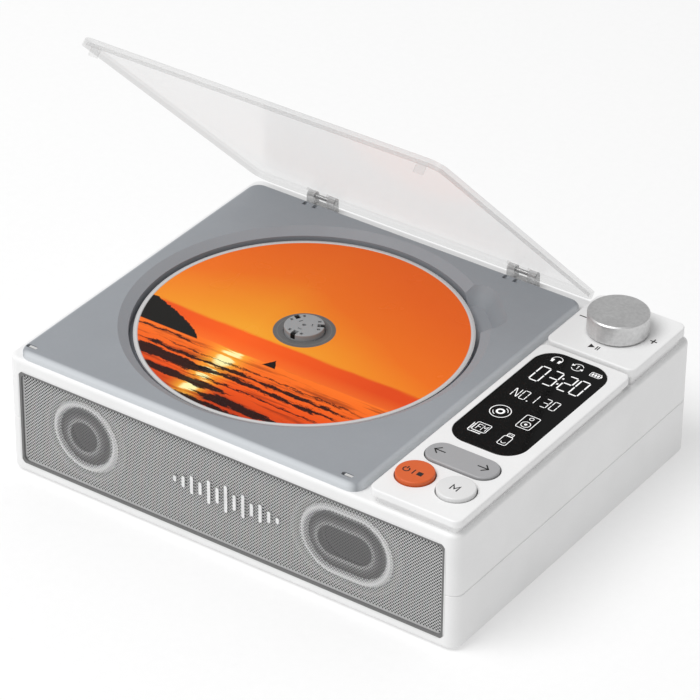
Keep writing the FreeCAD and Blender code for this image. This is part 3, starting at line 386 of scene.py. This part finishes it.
def painted_ring_shade(s, x, z, colour):
    """The sheet's colour with painted shade and painted highlight: darkened and brightened in rings by its
    distance to each driver's middle line.
    """
    away = []
    for middle, straight in DRIVERS:
        across = s.math("ABSOLUTE", s.math("SUBTRACT", x, middle * MM))
        across = s.math("MAXIMUM", s.math("SUBTRACT", across, straight * MM), 0.0)
        up = s.math("SUBTRACT", z, PAINTED_RING_Z * MM)
        away.append(s.distance(across, up))
    nearest = s.span(s.math("MINIMUM", *away), 0.0, DRIVER_SPAN * MM)
    return s.ramp(nearest, [(d / DRIVER_SPAN, shade(colour, bright)) for d, bright in PAINTED_RING_TONES])


def grille_material():
    """Painted sheet metal, with painted shade and painted highlight in rings where the drivers sit close
    behind it.
    """
    colour = grey(0.80)
    s = Shader("grille_metal", colour, 0.4, Metallic=0.15)
    x, _, z = s.axes()
    fine = s.noise(2600.0, 2.0)
    # painted shade and painted highlight rings over the drivers
    tint = painted_ring_shade(s, x, z, colour)
    tint = s.mix(s.span(fine, 0.3, 0.7, 0.0, 0.08), tint, shade(colour, 0.6))
    return s.finish(tint, s.span(s.noise(90.0, 2.0), 0.3, 0.7, 0.36, 0.46), s.bump(fine, 0.00001, 0.6))


# the frame's lip begins at these low and high X and Z
FRAME_LIP = (-88.95, 88.95, 4.2, 42.5)


def frame_material():
    """Grey frame of the grille with a white outer lip."""
    colour = grey(0.42)
    s = Shader("frame_grey", colour, 0.38)
    x, _, z = s.axes()
    inset = s.inset(x, z, FRAME_LIP)
    tint = s.mix(s.span(s.noise(60.0, 2.0), 0.3, 0.7), shade(colour, 0.96), shade(colour, 1.03))
    tint = s.mix(s.span(inset, 0.0, 0.12 * MM), grey(0.90), tint)
    gloss = s.span(s.noise(200.0, 2.0), 0.3, 0.7, 0.34, 0.44)
    return s.finish(tint, gloss, s.bump(s.noise(1500.0, 2.0), 0.00001, 0.6))


# ---------------------------------------------------------------- materials of the record's slots
# painted glow: faint light given off by the roll surrounds, which keeps them bright behind the sheet
ROLL_PAINTED_GLOW = {"Emission_Color": (1, 1, 1, 1), "Emission_Strength": 0.12}
MATERIALS = {
    "white_shell": moulded("white_shell", grey(0.935), 0.42),
    "white_button": moulded("white_button", grey(0.88), 0.34, grain=2200.0),
    "deck_grey": deck_material(),
    "frame_grey": frame_material(),
    "grille_metal": grille_material(),
    "chrome_trim": metal("chrome_trim", grey(0.93), 0.16, stretch=(1.0, 1.0, 0.2)),
    "black_plastic": moulded("black_plastic", grey(0.06), 0.55, Specular_IOR_Level=0.2),
    "driver_silver": moulded("driver_silver", grey(0.30), 0.45),
    # the roll surrounds carry a painted glow
    "driver_rubber": moulded("driver_rubber", grey(0.90), 0.5, grain=1900.0, **ROLL_PAINTED_GLOW),
    "driver_cone": moulded("driver_cone", grey(0.36), 0.6, grain=900.0, depth=0.00005),
    "magnet_steel": metal("magnet_steel", grey(0.5), 0.45),
    "foot_rubber": moulded("foot_rubber", grey(0.22), 0.8, grain=1200.0, depth=0.00004),
    "disc_print": disc_material(),
    "hub_grey": moulded("hub_grey", tone(0.60, 0.605, 0.61), 0.48),
    "plain_steel": metal("plain_steel", grey(0.72), 0.3, stretch=(0.1, 1.0, 1.0)),
    "lens_glass": moulded("lens_glass", tone(0.28, 0.36, 0.52), 0.08, depth=0.0),
    "gear_plastic": moulded("gear_plastic", tone(0.90, 0.89, 0.84), 0.45),
    "pinion_brass": metal("pinion_brass", tone(0.83, 0.69, 0.38), 0.3),
    "clear_lid": clear_material("clear_lid", grey(0.74), 0.16, 0.12, edge=grey(0.45)),
    "clear_bracket": clear_material("clear_bracket", grey(0.80), 0.55, 0.2),
    "black_glass": moulded("black_glass", grey(0.01), 0.08, depth=0.0, Specular_IOR_Level=0.12),
    "display_light": moulded("display_light", grey(0.9), 0.4),
    "orange_button": moulded("orange_button", tone(0.845, 0.375, 0.155), 0.4, grain=2200.0),
    "rocker_grey": moulded("rocker_grey", tone(0.64, 0.64, 0.647), 0.42, grain=2200.0),
    "knob_aluminium": metal("knob_aluminium", grey(0.84), 0.46, depth=0.0000015),
    "board_green": moulded("board_green", tone(0.10, 0.30, 0.18), 0.35),
    "cell_wrap": moulded("cell_wrap", tone(0.18, 0.34, 0.62), 0.35),
}


for piece in nodes.values():
    for index, old in enumerate(piece.data.materials):
        piece.data.materials[index] = MATERIALS[old.name.split(".")[0]]


def as_piece(name, mesh, slot, body="base", material=None):
    """Link a mesh as a piece of the object, with its finish and its body."""
    piece = bpy.data.objects.new(name, mesh)
    bpy.context.collection.objects.link(piece)
    mesh.materials.append(material or MATERIALS[slot])
    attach(piece, body)
    return piece


def scaled_mesh(name, points, faces):
    """Mesh from points in millimetres."""
    mesh = bpy.data.meshes.new(name)
    mesh.from_pydata([Vector(p) * MM for p in points], [], faces)
    return mesh


# ---------------------------------------------------------------- perforated speaker grille, in millimetres
GRILLE_HALF_W = 88.0
GRILLE_Z = (5.1, 41.6)
GRILLE_CORNER_R = 2.2
GRILLE_FRONT_Y = -73.1
SHEET_T = 0.14
CELL = 1.27
HALF_CELL = CELL / 2
HOLE_R = 0.39
CELLS_X = 138
CELLS_Z = 28
GRILLE_MIDDLE_Z = sum(GRILLE_Z) / 2
GRILLE_PARTS = 3
HOLE_SIDES = 8
# corners and mid-sides of the diamond round a hole, in half cells
DIAMOND = ((1, 0), (0.5, 0.5), (0, 1), (-0.5, 0.5), (-1, 0), (-0.5, -0.5), (0, -1), (0.5, -0.5))
CORNER_SIGNS = ((1, -1), (1, 1), (-1, 1), (-1, -1))


def hole_centres():
    """Staggered rows: even rows sit on the cells, odd rows half a cell along."""
    for row in range(2 * CELLS_Z - 1):
        shift = 0.5 * (row % 2)
        for column in range(CELLS_X - row % 2):
            x = (column + 0.5 + shift - CELLS_X / 2) * CELL
            yield x, GRILLE_MIDDLE_Z + (row + 1 - CELLS_Z) * CELL / 2


def thicken(piece, thickness):
    """Give a flat sheet its thickness, to the rear of the face it was drawn on."""
    solid = piece.modifiers.new("thickness", "SOLIDIFY")
    solid.thickness = thickness * MM
    solid.offset = -1.0


def ahead(points):
    """A face's points in the order that makes it look to the front."""
    area = sum(a[0] * b[1] - b[0] * a[1] for a, b in zip(points, points[1:] + points[:1]))
    return points if area > 0 else points[::-1]


class Sheet:
    """Flat upright mesh at one depth, from faces given by their corners in X and Z."""

    def __init__(self, name):
        self.name = name
        self.known = {}
        self.faces = []

    def add(self, points):
        face = []
        for x, z in ahead(points):
            key = (round(x, 3), round(z, 3))
            face.append(self.known.setdefault(key, len(self.known)))
        self.faces.append(face)

    def piece(self):
        mesh = scaled_mesh(self.name, [(x, GRILLE_FRONT_Y, z) for x, z in self.known], self.faces)
        piece = as_piece(self.name, mesh, "grille_metal")
        thicken(piece, SHEET_T)
        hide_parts("speaker_grille")


def perforated_grille():
    """Punched sheet in three lengths, each hole an octagon in its own diamond."""
    angles = [2 * math.pi * i / HOLE_SIDES for i in range(HOLE_SIDES)]
    sheets = [Sheet("grille_mesh_%d" % (i + 1)) for i in range(GRILLE_PARTS)]
    for x, z in hole_centres():
        part = int((x / (CELLS_X * CELL) + 0.5) * GRILLE_PARTS)
        sheet = sheets[min(GRILLE_PARTS - 1, part)]
        outer = [(x + dx * HALF_CELL, z + dz * HALF_CELL) for dx, dz in DIAMOND]
        inner = [(x + HOLE_R * math.cos(a), z + HOLE_R * math.sin(a)) for a in angles]
        for i in range(HOLE_SIDES):
            j = (i + 1) % HOLE_SIDES
            sheet.add([outer[i], outer[j], inner[j], inner[i]])
    for sheet in sheets:
        sheet.piece()


def half_diamond(x, z, along, across):
    """Half of a diamond on its long side, as five points. The two directions are unit steps in X and Z."""
    steps = ((-1, 0), (1, 0), (0.5, 0.5), (0, 1), (-0.5, 0.5))
    points = []
    for a, c in steps:
        dx, dz = (a * along[k] + c * across[k] for k in (0, 1))
        points.append((x + dx * HALF_CELL, z + dz * HALF_CELL))
    return points


def grille_border():
    """Plain edge: half diamonds beside the outer holes, then a strip out to the rounded outline."""
    sheet = Sheet("grille_border")
    edge_x = CELLS_X * HALF_CELL
    edge_z = CELLS_Z * HALF_CELL
    for side in (-1, 1):
        for i in range(CELLS_X - 1):
            x = (i + 1 - CELLS_X / 2) * CELL
            sheet.add(half_diamond(x, GRILLE_MIDDLE_Z + side * edge_z, (1, 0), (0, -side)))
        for i in range(CELLS_Z - 1):
            z = GRILLE_MIDDLE_Z + (i + 1 - CELLS_Z / 2) * CELL
            sheet.add(half_diamond(side * edge_x, z, (0, 1), (-side, 0)))
    inner, arcs = [], []
    for quarter, (sx, sz) in enumerate(CORNER_SIGNS):
        x, z = sx * edge_x, GRILLE_MIDDLE_Z + sz * edge_z
        inner.append((x, z))
        slant = (x - sx * HALF_CELL / 2, z - sz * HALF_CELL / 2)
        sheet.add([(x, z), (x - sx * HALF_CELL, z), slant, (x, z - sz * HALF_CELL)])
        cx = sx * (GRILLE_HALF_W - GRILLE_CORNER_R)
        cz = GRILLE_Z[0] + GRILLE_CORNER_R if sz < 0 else GRILLE_Z[1] - GRILLE_CORNER_R
        arc = []
        for step in range(7):
            a = math.radians(-90 + 90 * quarter + 15 * step)
            arc.append((cx + GRILLE_CORNER_R * math.cos(a), cz + GRILLE_CORNER_R * math.sin(a)))
        arcs.append(arc)
    for q in range(4):
        for a, b in zip(arcs[q], arcs[q][1:]):
            sheet.add([inner[q], a, b])
        sheet.add([inner[q], arcs[q][-1], arcs[(q + 1) % 4][0], inner[(q + 1) % 4]])
    sheet.piece()


# ---------------------------------------------------------------- loudspeaker faces behind the grille
SPEAKER_Z = 24.4
RING_COUNT = 96
FACE_T = 0.3
ROLL_Y = -71.4
ROLL_H = 0.95
ROLL_CLEAR = 0.1
# the cone's slope as inset from its edge and depth in Y
CONE_SLOPE = ((0.0, -71.2), (0.5, -71.0), (1.4, -70.2), (2.4, -69.4), (3.4, -68.8))
DOME_Y = -68.4
DOME_H = 2.0
DOME_ANGLES = (0.3, 0.6, 0.9, 1.2, 1.45)
CAP_RING_Y = -69.4
CAP_RING_W = 1.1
CAP_RING_H = 0.9
CAP_RING_OUT = 0.6


def racetrack(cx, half_w, half_h):
    """Closed outline with round ends, as points around the driver's centre."""
    straight = half_w - half_h
    points = []
    for i in range(RING_COUNT):
        angle = 2 * math.pi * i / RING_COUNT
        side = straight if math.cos(angle) > 0 else -straight
        points.append((cx + side + half_h * math.cos(angle), SPEAKER_Z + half_h * math.sin(angle)))
    return points


def ring_piece(name, slot, cx, size, profile, replaced=None, closed_centre=False):
    """Surface swept round a driver. The profile gives inset from the outer size and depth in Y."""
    points = []
    for inset, y in profile:
        points += [(x, y, z) for x, z in racetrack(cx, size[0] - inset, size[1] - inset)]
    faces = []
    last = (len(profile) - 1) * RING_COUNT
    for a in range(0, last, RING_COUNT):
        b = a + RING_COUNT
        for i in range(RING_COUNT):
            j = (i + 1) % RING_COUNT
            faces.append((a + i, a + j, b + j, b + i))
    if closed_centre:
        faces.append(tuple(range(last, last + RING_COUNT)))
    mesh = scaled_mesh(name, points, faces)
    mesh.shade_smooth()
    piece = as_piece(name, mesh, slot)
    thicken(piece, FACE_T)
    if replaced:
        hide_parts(replaced)


def roll_profile(width, y_edge, height, steps=12):
    """Half-round roll between the basket and the cone."""
    return [(width * i / steps, y_edge - height * math.sin(math.pi * i / steps)) for i in range(steps + 1)]


def driver(side, cx, roll, cone, cap):
    """Roll surround, cone with a ribbed slope, cap ring and domed cap of one driver."""
    surround = roll_profile(roll[1] - cone[1], ROLL_Y, ROLL_H)
    edge = (roll[0] - ROLL_CLEAR, roll[1] - ROLL_CLEAR)
    ring_piece(side + "_roll", "driver_rubber", cx, edge, surround, side + "_surround")
    dome = [(cone[1] - cap[1], DOME_Y)]
    for a in DOME_ANGLES:
        dome.append((cone[1] - cap[1] * math.cos(a), DOME_Y - DOME_H * math.sin(a)))
    profile = list(CONE_SLOPE) + dome
    ring_piece(side + "_diaphragm", "driver_cone", cx, cone, profile, side + "_cone", closed_centre=True)
    rim = roll_profile(CAP_RING_W, CAP_RING_Y, CAP_RING_H, 8)
    outer = (cap[0] + CAP_RING_OUT, cap[1] + CAP_RING_OUT)
    ring_piece(side + "_cap_ring", "driver_silver", cx, outer, rim)


# radius and height of the disc's bevelled edge
RIM_PROFILE = ((58.45, 47.31), (58.75, 47.40), (59.35, 47.38), (59.92, 47.12), (60.0, 46.9))
RIM_COUNT = 180
RIM_T = 0.08


def disc_rim():
    """Bevelled clear edge of the disc, outside the print."""
    points, faces = [], []
    for r, z in RIM_PROFILE:
        for i in range(RIM_COUNT):
            a = 2 * math.pi * i / RIM_COUNT
            points.append((DISC_X + r * math.cos(a), DISC_Y + r * math.sin(a), z))
    for a in range(0, (len(RIM_PROFILE) - 1) * RIM_COUNT, RIM_COUNT):
        b = a + RIM_COUNT
        for i in range(RIM_COUNT):
            j = (i + 1) % RIM_COUNT
            faces.append((a + i, b + i, b + j, a + j))
    mesh = scaled_mesh("disc_rim", points, faces)
    mesh.shade_smooth()
    clear = moulded("rim_clear", grey(0.80), 0.14, grain=2600.0, mottle=0.02)
    piece = as_piece("disc_rim", mesh, "disc_print", "disc", clear)
    thicken(piece, RIM_T)


# ---------------------------------------------------------------- inlaid marks
def ribbon(points, width, closed=False):
    """Left and right outlines of a line of constant width with mitred corners."""
    count = len(points)
    lefts, rights = [], []
    for i, (x, y) in enumerate(points):
        before = points[i - 1] if closed or i else None
        after = points[(i + 1) % count] if closed or i < count - 1 else None
        directions = []
        for a, b in ((before, (x, y)), ((x, y), after)):
            if a and b:
                d = Vector((b[0] - a[0], b[1] - a[1]))
                directions.append(d.normalized())
        mean = sum(directions, Vector((0.0, 0.0))).normalized()
        normal = Vector((-mean.y, mean.x))
        reach = width / 2 / max(0.5, normal.dot(Vector((-directions[0].y, directions[0].x))))
        lefts.append((x + normal.x * reach, y + normal.y * reach))
        rights.append((x - normal.x * reach, y - normal.y * reach))
    return lefts, rights


INLAY_SUNK = 0.01
INLAY_PROUD = 0.03


class Inlay:
    """Flat marks on a horizontal surface, gathered into one mesh that reaches a little way down into it."""

    def __init__(self, top, depth=INLAY_SUNK):
        self.low = top - depth
        self.high = top + INLAY_PROUD
        self.points = []
        self.faces = []

    def prism(self, outline):
        """Closed plate from one convex outline, anticlockwise from above."""
        n = len(outline)
        start = len(self.points)
        self.points += [(x, y, self.low) for x, y in outline] + [(x, y, self.high) for x, y in outline]
        self.faces.append(tuple(start + n + i for i in range(n)))
        self.faces.append(tuple(start + i for i in reversed(range(n))))
        for i in range(n):
            j = (i + 1) % n
            self.faces.append((start + i, start + j, start + n + j, start + n + i))

    def line(self, points, width, closed=False):
        """Bar of constant width along a run of points."""
        lefts, rights = ribbon(points, width, closed)
        count = len(points)
        start = len(self.points)
        for (lx, ly), (rx, ry) in zip(lefts, rights):
            self.points += [(lx, ly, self.high), (rx, ry, self.high), (rx, ry, self.low), (lx, ly, self.low)]
        for i in range(count if closed else count - 1):
            a = start + 4 * i
            b = start + 4 * ((i + 1) % count)
            for k in range(4):
                m = (k + 1) % 4
                self.faces.append((a + k, a + m, b + m, b + k))
        if not closed:
            end = start + 4 * (count - 1)
            self.faces.append((start + 3, start + 2, start + 1, start))
            self.faces.append((end, end + 1, end + 2, end + 3))

    def arc(self, x, y, r, start, stop, width):
        """Bar along an arc, between two angles in degrees."""
        steps = max(6, int(abs(stop - start) / 12))
        whole = abs(stop - start) >= 360
        count = steps if whole else steps + 1
        angles = [math.radians(start + (stop - start) * i / steps) for i in range(count)]
        self.line([(x + r * math.cos(a), y + r * math.sin(a)) for a in angles], width, whole)

    def block(self, x, y, w, h):
        corners = ((-1, -1), (1, -1), (1, 1), (-1, 1))
        self.prism([(x + sx * w / 2, y + sy * h / 2) for sx, sy in corners])

    def disc(self, x, y, r, count=20):
        angles = [2 * math.pi * i / count for i in range(count)]
        self.prism([(x + r * math.cos(a), y + r * math.sin(a)) for a in angles])

    def frame(self, x, y, w, h, r, width):
        """Outline of a box with rounded corners."""
        points = []
        for quarter, (sx, sy) in enumerate(CORNER_SIGNS):
            cx, cy = x + sx * (w / 2 - r), y + sy * (h / 2 - r)
            for step in range(4):
                a = math.radians(-90 + 90 * quarter + 30 * step)
                points.append((cx + r * math.cos(a), cy + r * math.sin(a)))
        self.line(points, width, True)

    def digit(self, mark, x, y, w, h, width):
        """Seven-segment figure with its lower left corner at x, y."""
        gap = width * 0.62
        middle = y + h / 2
        ends = {
            "a": ((x + gap, y + h), (x + w - gap, y + h)),
            "b": ((x + w, y + h - gap), (x + w, middle + gap)),
            "c": ((x + w, middle - gap), (x + w, y + gap)),
            "d": ((x + gap, y), (x + w - gap, y)),
            "e": ((x, middle - gap), (x, y + gap)),
            "f": ((x, y + h - gap), (x, middle + gap)),
            "g": ((x + gap, middle), (x + w - gap, middle)),
            "n": ((x + gap, y + h - gap), (x + w - gap, y + gap)),
        }
        for segment in SEGMENTS[mark]:
            self.line(list(ends[segment]), width)

    def piece(self, name, slot, body, material):
        mesh = scaled_mesh(name, self.points, self.faces)
        box = bmesh.new()
        box.from_mesh(mesh)
        bmesh.ops.recalc_face_normals(box, faces=box.faces)
        box.to_mesh(mesh)
        box.free()
        return as_piece(name, mesh, slot, body, material)


# lit segments of each figure, and the heights of the surfaces that carry marks
SEGMENTS = {"0": "abcdef", "1": "bc", "2": "abged", "3": "abgcd", "N": "efbcn"}
WINDOW_TOP = 53.4
KNOB_PLATE_TOP = 54.5
ROCKER_TOP = 54.3
BUTTON_TOP = 54.9


def display_symbols():
    """Lit figures and icons of the display."""
    d = Inlay(WINDOW_TOP)
    for mark, x in (("0", 66.1), ("3", 71.4), ("2", 77.2), ("0", 82.0)):
        d.digit(mark, x, 10.9, 3.5, 9.3, 0.52)
    for y in (13.6, 17.4):
        d.block(76.1, y, 0.65, 0.8)
    for mark, x in (("N", 66.4), ("0", 69.7), ("1", 73.4), ("3", 78.3), ("0", 81.7)):
        d.digit(mark, x, -1.3, 2.2, 5.2, 0.31)
    d.block(73.2, -1.3, 0.5, 0.5)

    # headphones, repeat and battery
    d.arc(68.1, 26.1, 2.0, -25, 205, 0.25)
    for side in (-1, 1):
        d.block(68.1 + side * 1.35, 25.3, 0.95, 1.7)
    for start in (25, 205):
        d.arc(76.3, 26.2, 2.1, start, start + 125, 0.25)
        a = math.radians(start + 128)
        tip = Vector((76.3 + 2.1 * math.cos(a), 26.2 + 2.1 * math.sin(a)))
        along = Vector((-math.sin(a), math.cos(a)))
        across = Vector((math.cos(a), math.sin(a)))
        d.prism([tuple(tip - across * 0.75), tuple(tip + across * 0.75), tuple(tip + along * 1.1)])
    d.line([(75.9, 26.9), (76.4, 27.3), (76.4, 25.2)], 0.24)
    d.frame(84.0, 25.6, 4.0, 2.4, 0.4, 0.24)
    for x in (82.9, 84.0, 85.1):
        d.block(x, 25.6, 0.7, 1.4)
    d.block(86.3, 25.6, 0.35, 1.0)

    # disc
    d.arc(69.4, -11.6, 3.7, 0, 360, 0.29)
    d.arc(69.4, -11.6, 1.25, 0, 360, 0.7)
    for start in (15, 195):
        d.arc(69.4, -11.6, 2.6, start, start + 55, 0.24)

    # loudspeaker
    d.frame(80.7, -12.0, 5.4, 8.0, 0.7, 0.27)
    d.arc(80.7, -13.4, 1.65, 0, 360, 0.27)
    d.disc(80.7, -13.4, 0.55)
    d.arc(80.7, -9.6, 0.75, 0, 360, 0.26)

    # radio
    d.frame(69.6, -23.4, 5.4, 5.0, 0.6, 0.27)
    d.line([(66.0, -22.0), (66.0, -26.6), (66.5, -27.1), (71.2, -27.1)], 0.27)
    for k in range(4):
        d.line([(66.0, -23.4 - k), (66.8, -22.6 - k)], 0.2)
        d.line([(67.6 + k, -27.1), (68.2 + k, -26.2)], 0.25)
    d.line([(68.0, -25.0), (68.0, -22.0), (69.4, -22.0)], 0.26)
    d.line([(68.0, -23.4), (69.2, -23.4)], 0.26)
    d.line([(70.0, -25.0), (70.0, -22.0), (70.8, -23.4), (71.6, -22.0), (71.6, -25.0)], 0.26)

    # memory stick
    d.frame(80.1, -25.4, 3.4, 5.4, 0.7, 0.27)
    d.frame(80.1, -21.7, 2.1, 1.7, 0.15, 0.26)
    d.block(79.7, -21.6, 0.3, 0.5)
    d.block(80.5, -21.6, 0.3, 0.5)
    d.arc(80.1, -26.2, 0.85, 180, 360, 0.25)
    return d


def arrow(inlay, x, y, way):
    """Arrow along X with an open head."""
    tip = x + way * 2.1
    inlay.line([(x - way * 2.1, y), (tip, y)], 0.5)
    inlay.line([(tip - way * 1.9, y + 1.9), (tip, y), (tip - way * 1.9, y - 1.9)], 0.5)


# painted highlight: pale blocks in the slots that take the lid's catches stand in for the lit wall of each
# slot: middle of the slots, top and depth
CATCH_XS = (-86.7, 46.6)
CATCH_Y = -68.9
CATCH_HIGHLIGHT_Z = 50.45
CATCH_DEPTH = 2.2


def marks():
    """Printed and lit marks, each on the body that carries it."""
    ink = moulded("mark_ink", grey(0.17), 0.6, grain=3000.0, Specular_IOR_Level=0.2)
    light = {"Emission_Color": grey(0.95), "Emission_Strength": 0.35}
    lit = moulded("mark_light", grey(0.93), 0.4, mottle=0.02, **light)
    display_symbols().piece("display_symbols", "display_light", "base", lit)

    # painted highlight: a pale block in each catch slot stands in for its lit wall
    slot_highlight = moulded("catch_painted_highlight", grey(0.80), 0.5, grain=1500.0)
    for name, x in (("left_catch_highlight", CATCH_XS[0]), ("right_catch_highlight", CATCH_XS[1])):
        ramp = Inlay(CATCH_HIGHLIGHT_Z, CATCH_DEPTH)
        ramp.block(x + 0.55, CATCH_Y + 0.1, 3.1, 1.1)
        ramp.piece(name, "deck_grey", "base", slot_highlight)

    knob_marks = Inlay(KNOB_PLATE_TOP)
    knob_marks.line([(88.5, 53.9), (91.2, 53.9)], 0.5)
    knob_marks.line([(89.85, 52.4), (89.85, 55.4)], 0.5)
    knob_marks.line([(60.0, 53.5), (63.2, 53.5)], 0.5)
    knob_marks.prism([(73.0, 37.7), (75.2, 39.0), (73.0, 40.3)])
    for x in (75.9, 76.7):
        knob_marks.block(x, 39.0, 0.42, 2.3)
    knob_marks.piece("knob_marks", "black_plastic", "base", ink)

    arrows = Inlay(ROCKER_TOP)
    arrow(arrows, 66.6, -43.9, -1)
    arrow(arrows, 83.6, -43.9, 1)
    arrows.piece("rocker_arrows", "black_plastic", "track_rocker", ink)

    power = Inlay(BUTTON_TOP)
    power.arc(63.9, -59.9, 1.15, 120, 420, 0.46)
    power.line([(63.9, -59.5), (63.9, -58.1)], 0.46)
    power.block(66.8, -59.9, 0.45, 2.6)
    power.block(69.3, -59.9, 2.0, 2.0)
    power.piece("power_marks", "black_plastic", "power_button", ink)

    mode = Inlay(BUTTON_TOP)
    mode.line([(81.7, -61.2), (81.7, -58.3), (83.0, -60.3), (84.3, -58.3), (84.3, -61.2)], 0.5)
    mode.piece("mode_mark", "black_plastic", "mode_button", ink)


perforated_grille()
grille_border()
driver("left", LEFT_X, roll=(14.4, 14.4), cone=(11.4, 11.4), cap=(7.8, 7.8))
driver("right", RIGHT_X, roll=(19.2, 14.6), cone=(16.0, 11.4), cap=(9.9, 7.8))
disc_rim()
marks()


# ---------------------------------------------------------------- floor, light and camera, in metres
FLOOR_HALF = 6.0
FLOOR_GLOW = 0.36
SKY_STRENGTH = 0.53


def aimed(thing, target):
    thing.rotation_euler = (Vector(target) - thing.location).to_track_quat("-Z", "Y").to_euler()


def softbox(name, place, target, size, power):
    light = bpy.data.lights.new(name, "AREA")
    light.shape = "RECTANGLE"
    light.size, light.size_y = size
    light.energy = power
    lamp = bpy.data.objects.new(name, light)
    bpy.context.collection.objects.link(lamp)
    lamp.location = place
    aimed(lamp, target)


def floor():
    """Plain paper under and behind the object, lifted a little by its own light."""
    mesh = bpy.data.meshes.new("studio_floor")
    corners = [(x * FLOOR_HALF, y * FLOOR_HALF, 0) for x, y in ((-1, -1), (1, -1), (1, 1), (-1, 1))]
    mesh.from_pydata(corners, [], [(0, 1, 2, 3)])
    piece = bpy.data.objects.new("studio_floor", mesh)
    bpy.context.collection.objects.link(piece)
    looks = {"Specular_IOR_Level": 0.0, "Emission_Color": (1, 1, 1, 1), "Emission_Strength": FLOOR_GLOW}
    paper = moulded("studio_paper", grey(0.80), 0.95, grain=300.0, depth=0.0, mottle=0.0, **looks)
    mesh.materials.append(paper)


AZIMUTH, ELEVATION, ROLL = (math.radians(a) for a in (34.634, 33.112, 0.522))
TARGET = Vector((-3.714, 4.683, 41.654)) * MM
DISTANCE = 1.40317
SENSOR_MM = 36.0
LENS_MM = 206.084
CLIP = (0.05, 30.0)
flat = math.cos(ELEVATION)
back = Vector((math.sin(AZIMUTH) * flat, -math.cos(AZIMUTH) * flat, math.sin(ELEVATION)))
camera = bpy.data.objects.new("camera", bpy.data.cameras.new("camera"))
bpy.context.collection.objects.link(camera)
camera.location = TARGET + back * DISTANCE
facing = (-back).to_track_quat("-Z", "Y").to_matrix() @ Matrix.Rotation(ROLL, 3, "Z")
camera.rotation_euler = facing.to_euler()
camera.data.sensor_width = SENSOR_MM
camera.data.lens = LENS_MM
camera.data.clip_start, camera.data.clip_end = CLIP
bpy.context.scene.camera = camera

world = bpy.data.worlds.new("studio")
world.use_nodes = True
world.node_tree.nodes["Background"].inputs[0].default_value = (1, 1, 1, 1)
world.node_tree.nodes["Background"].inputs[1].default_value = SKY_STRENGTH
bpy.context.scene.world = world
bpy.context.scene.view_settings.view_transform = "Standard"
softbox("key_light", place=(-0.6, -1.1, 2.2), target=(0, 0, 0), size=(1.5, 1.5), power=42.0)
floor()
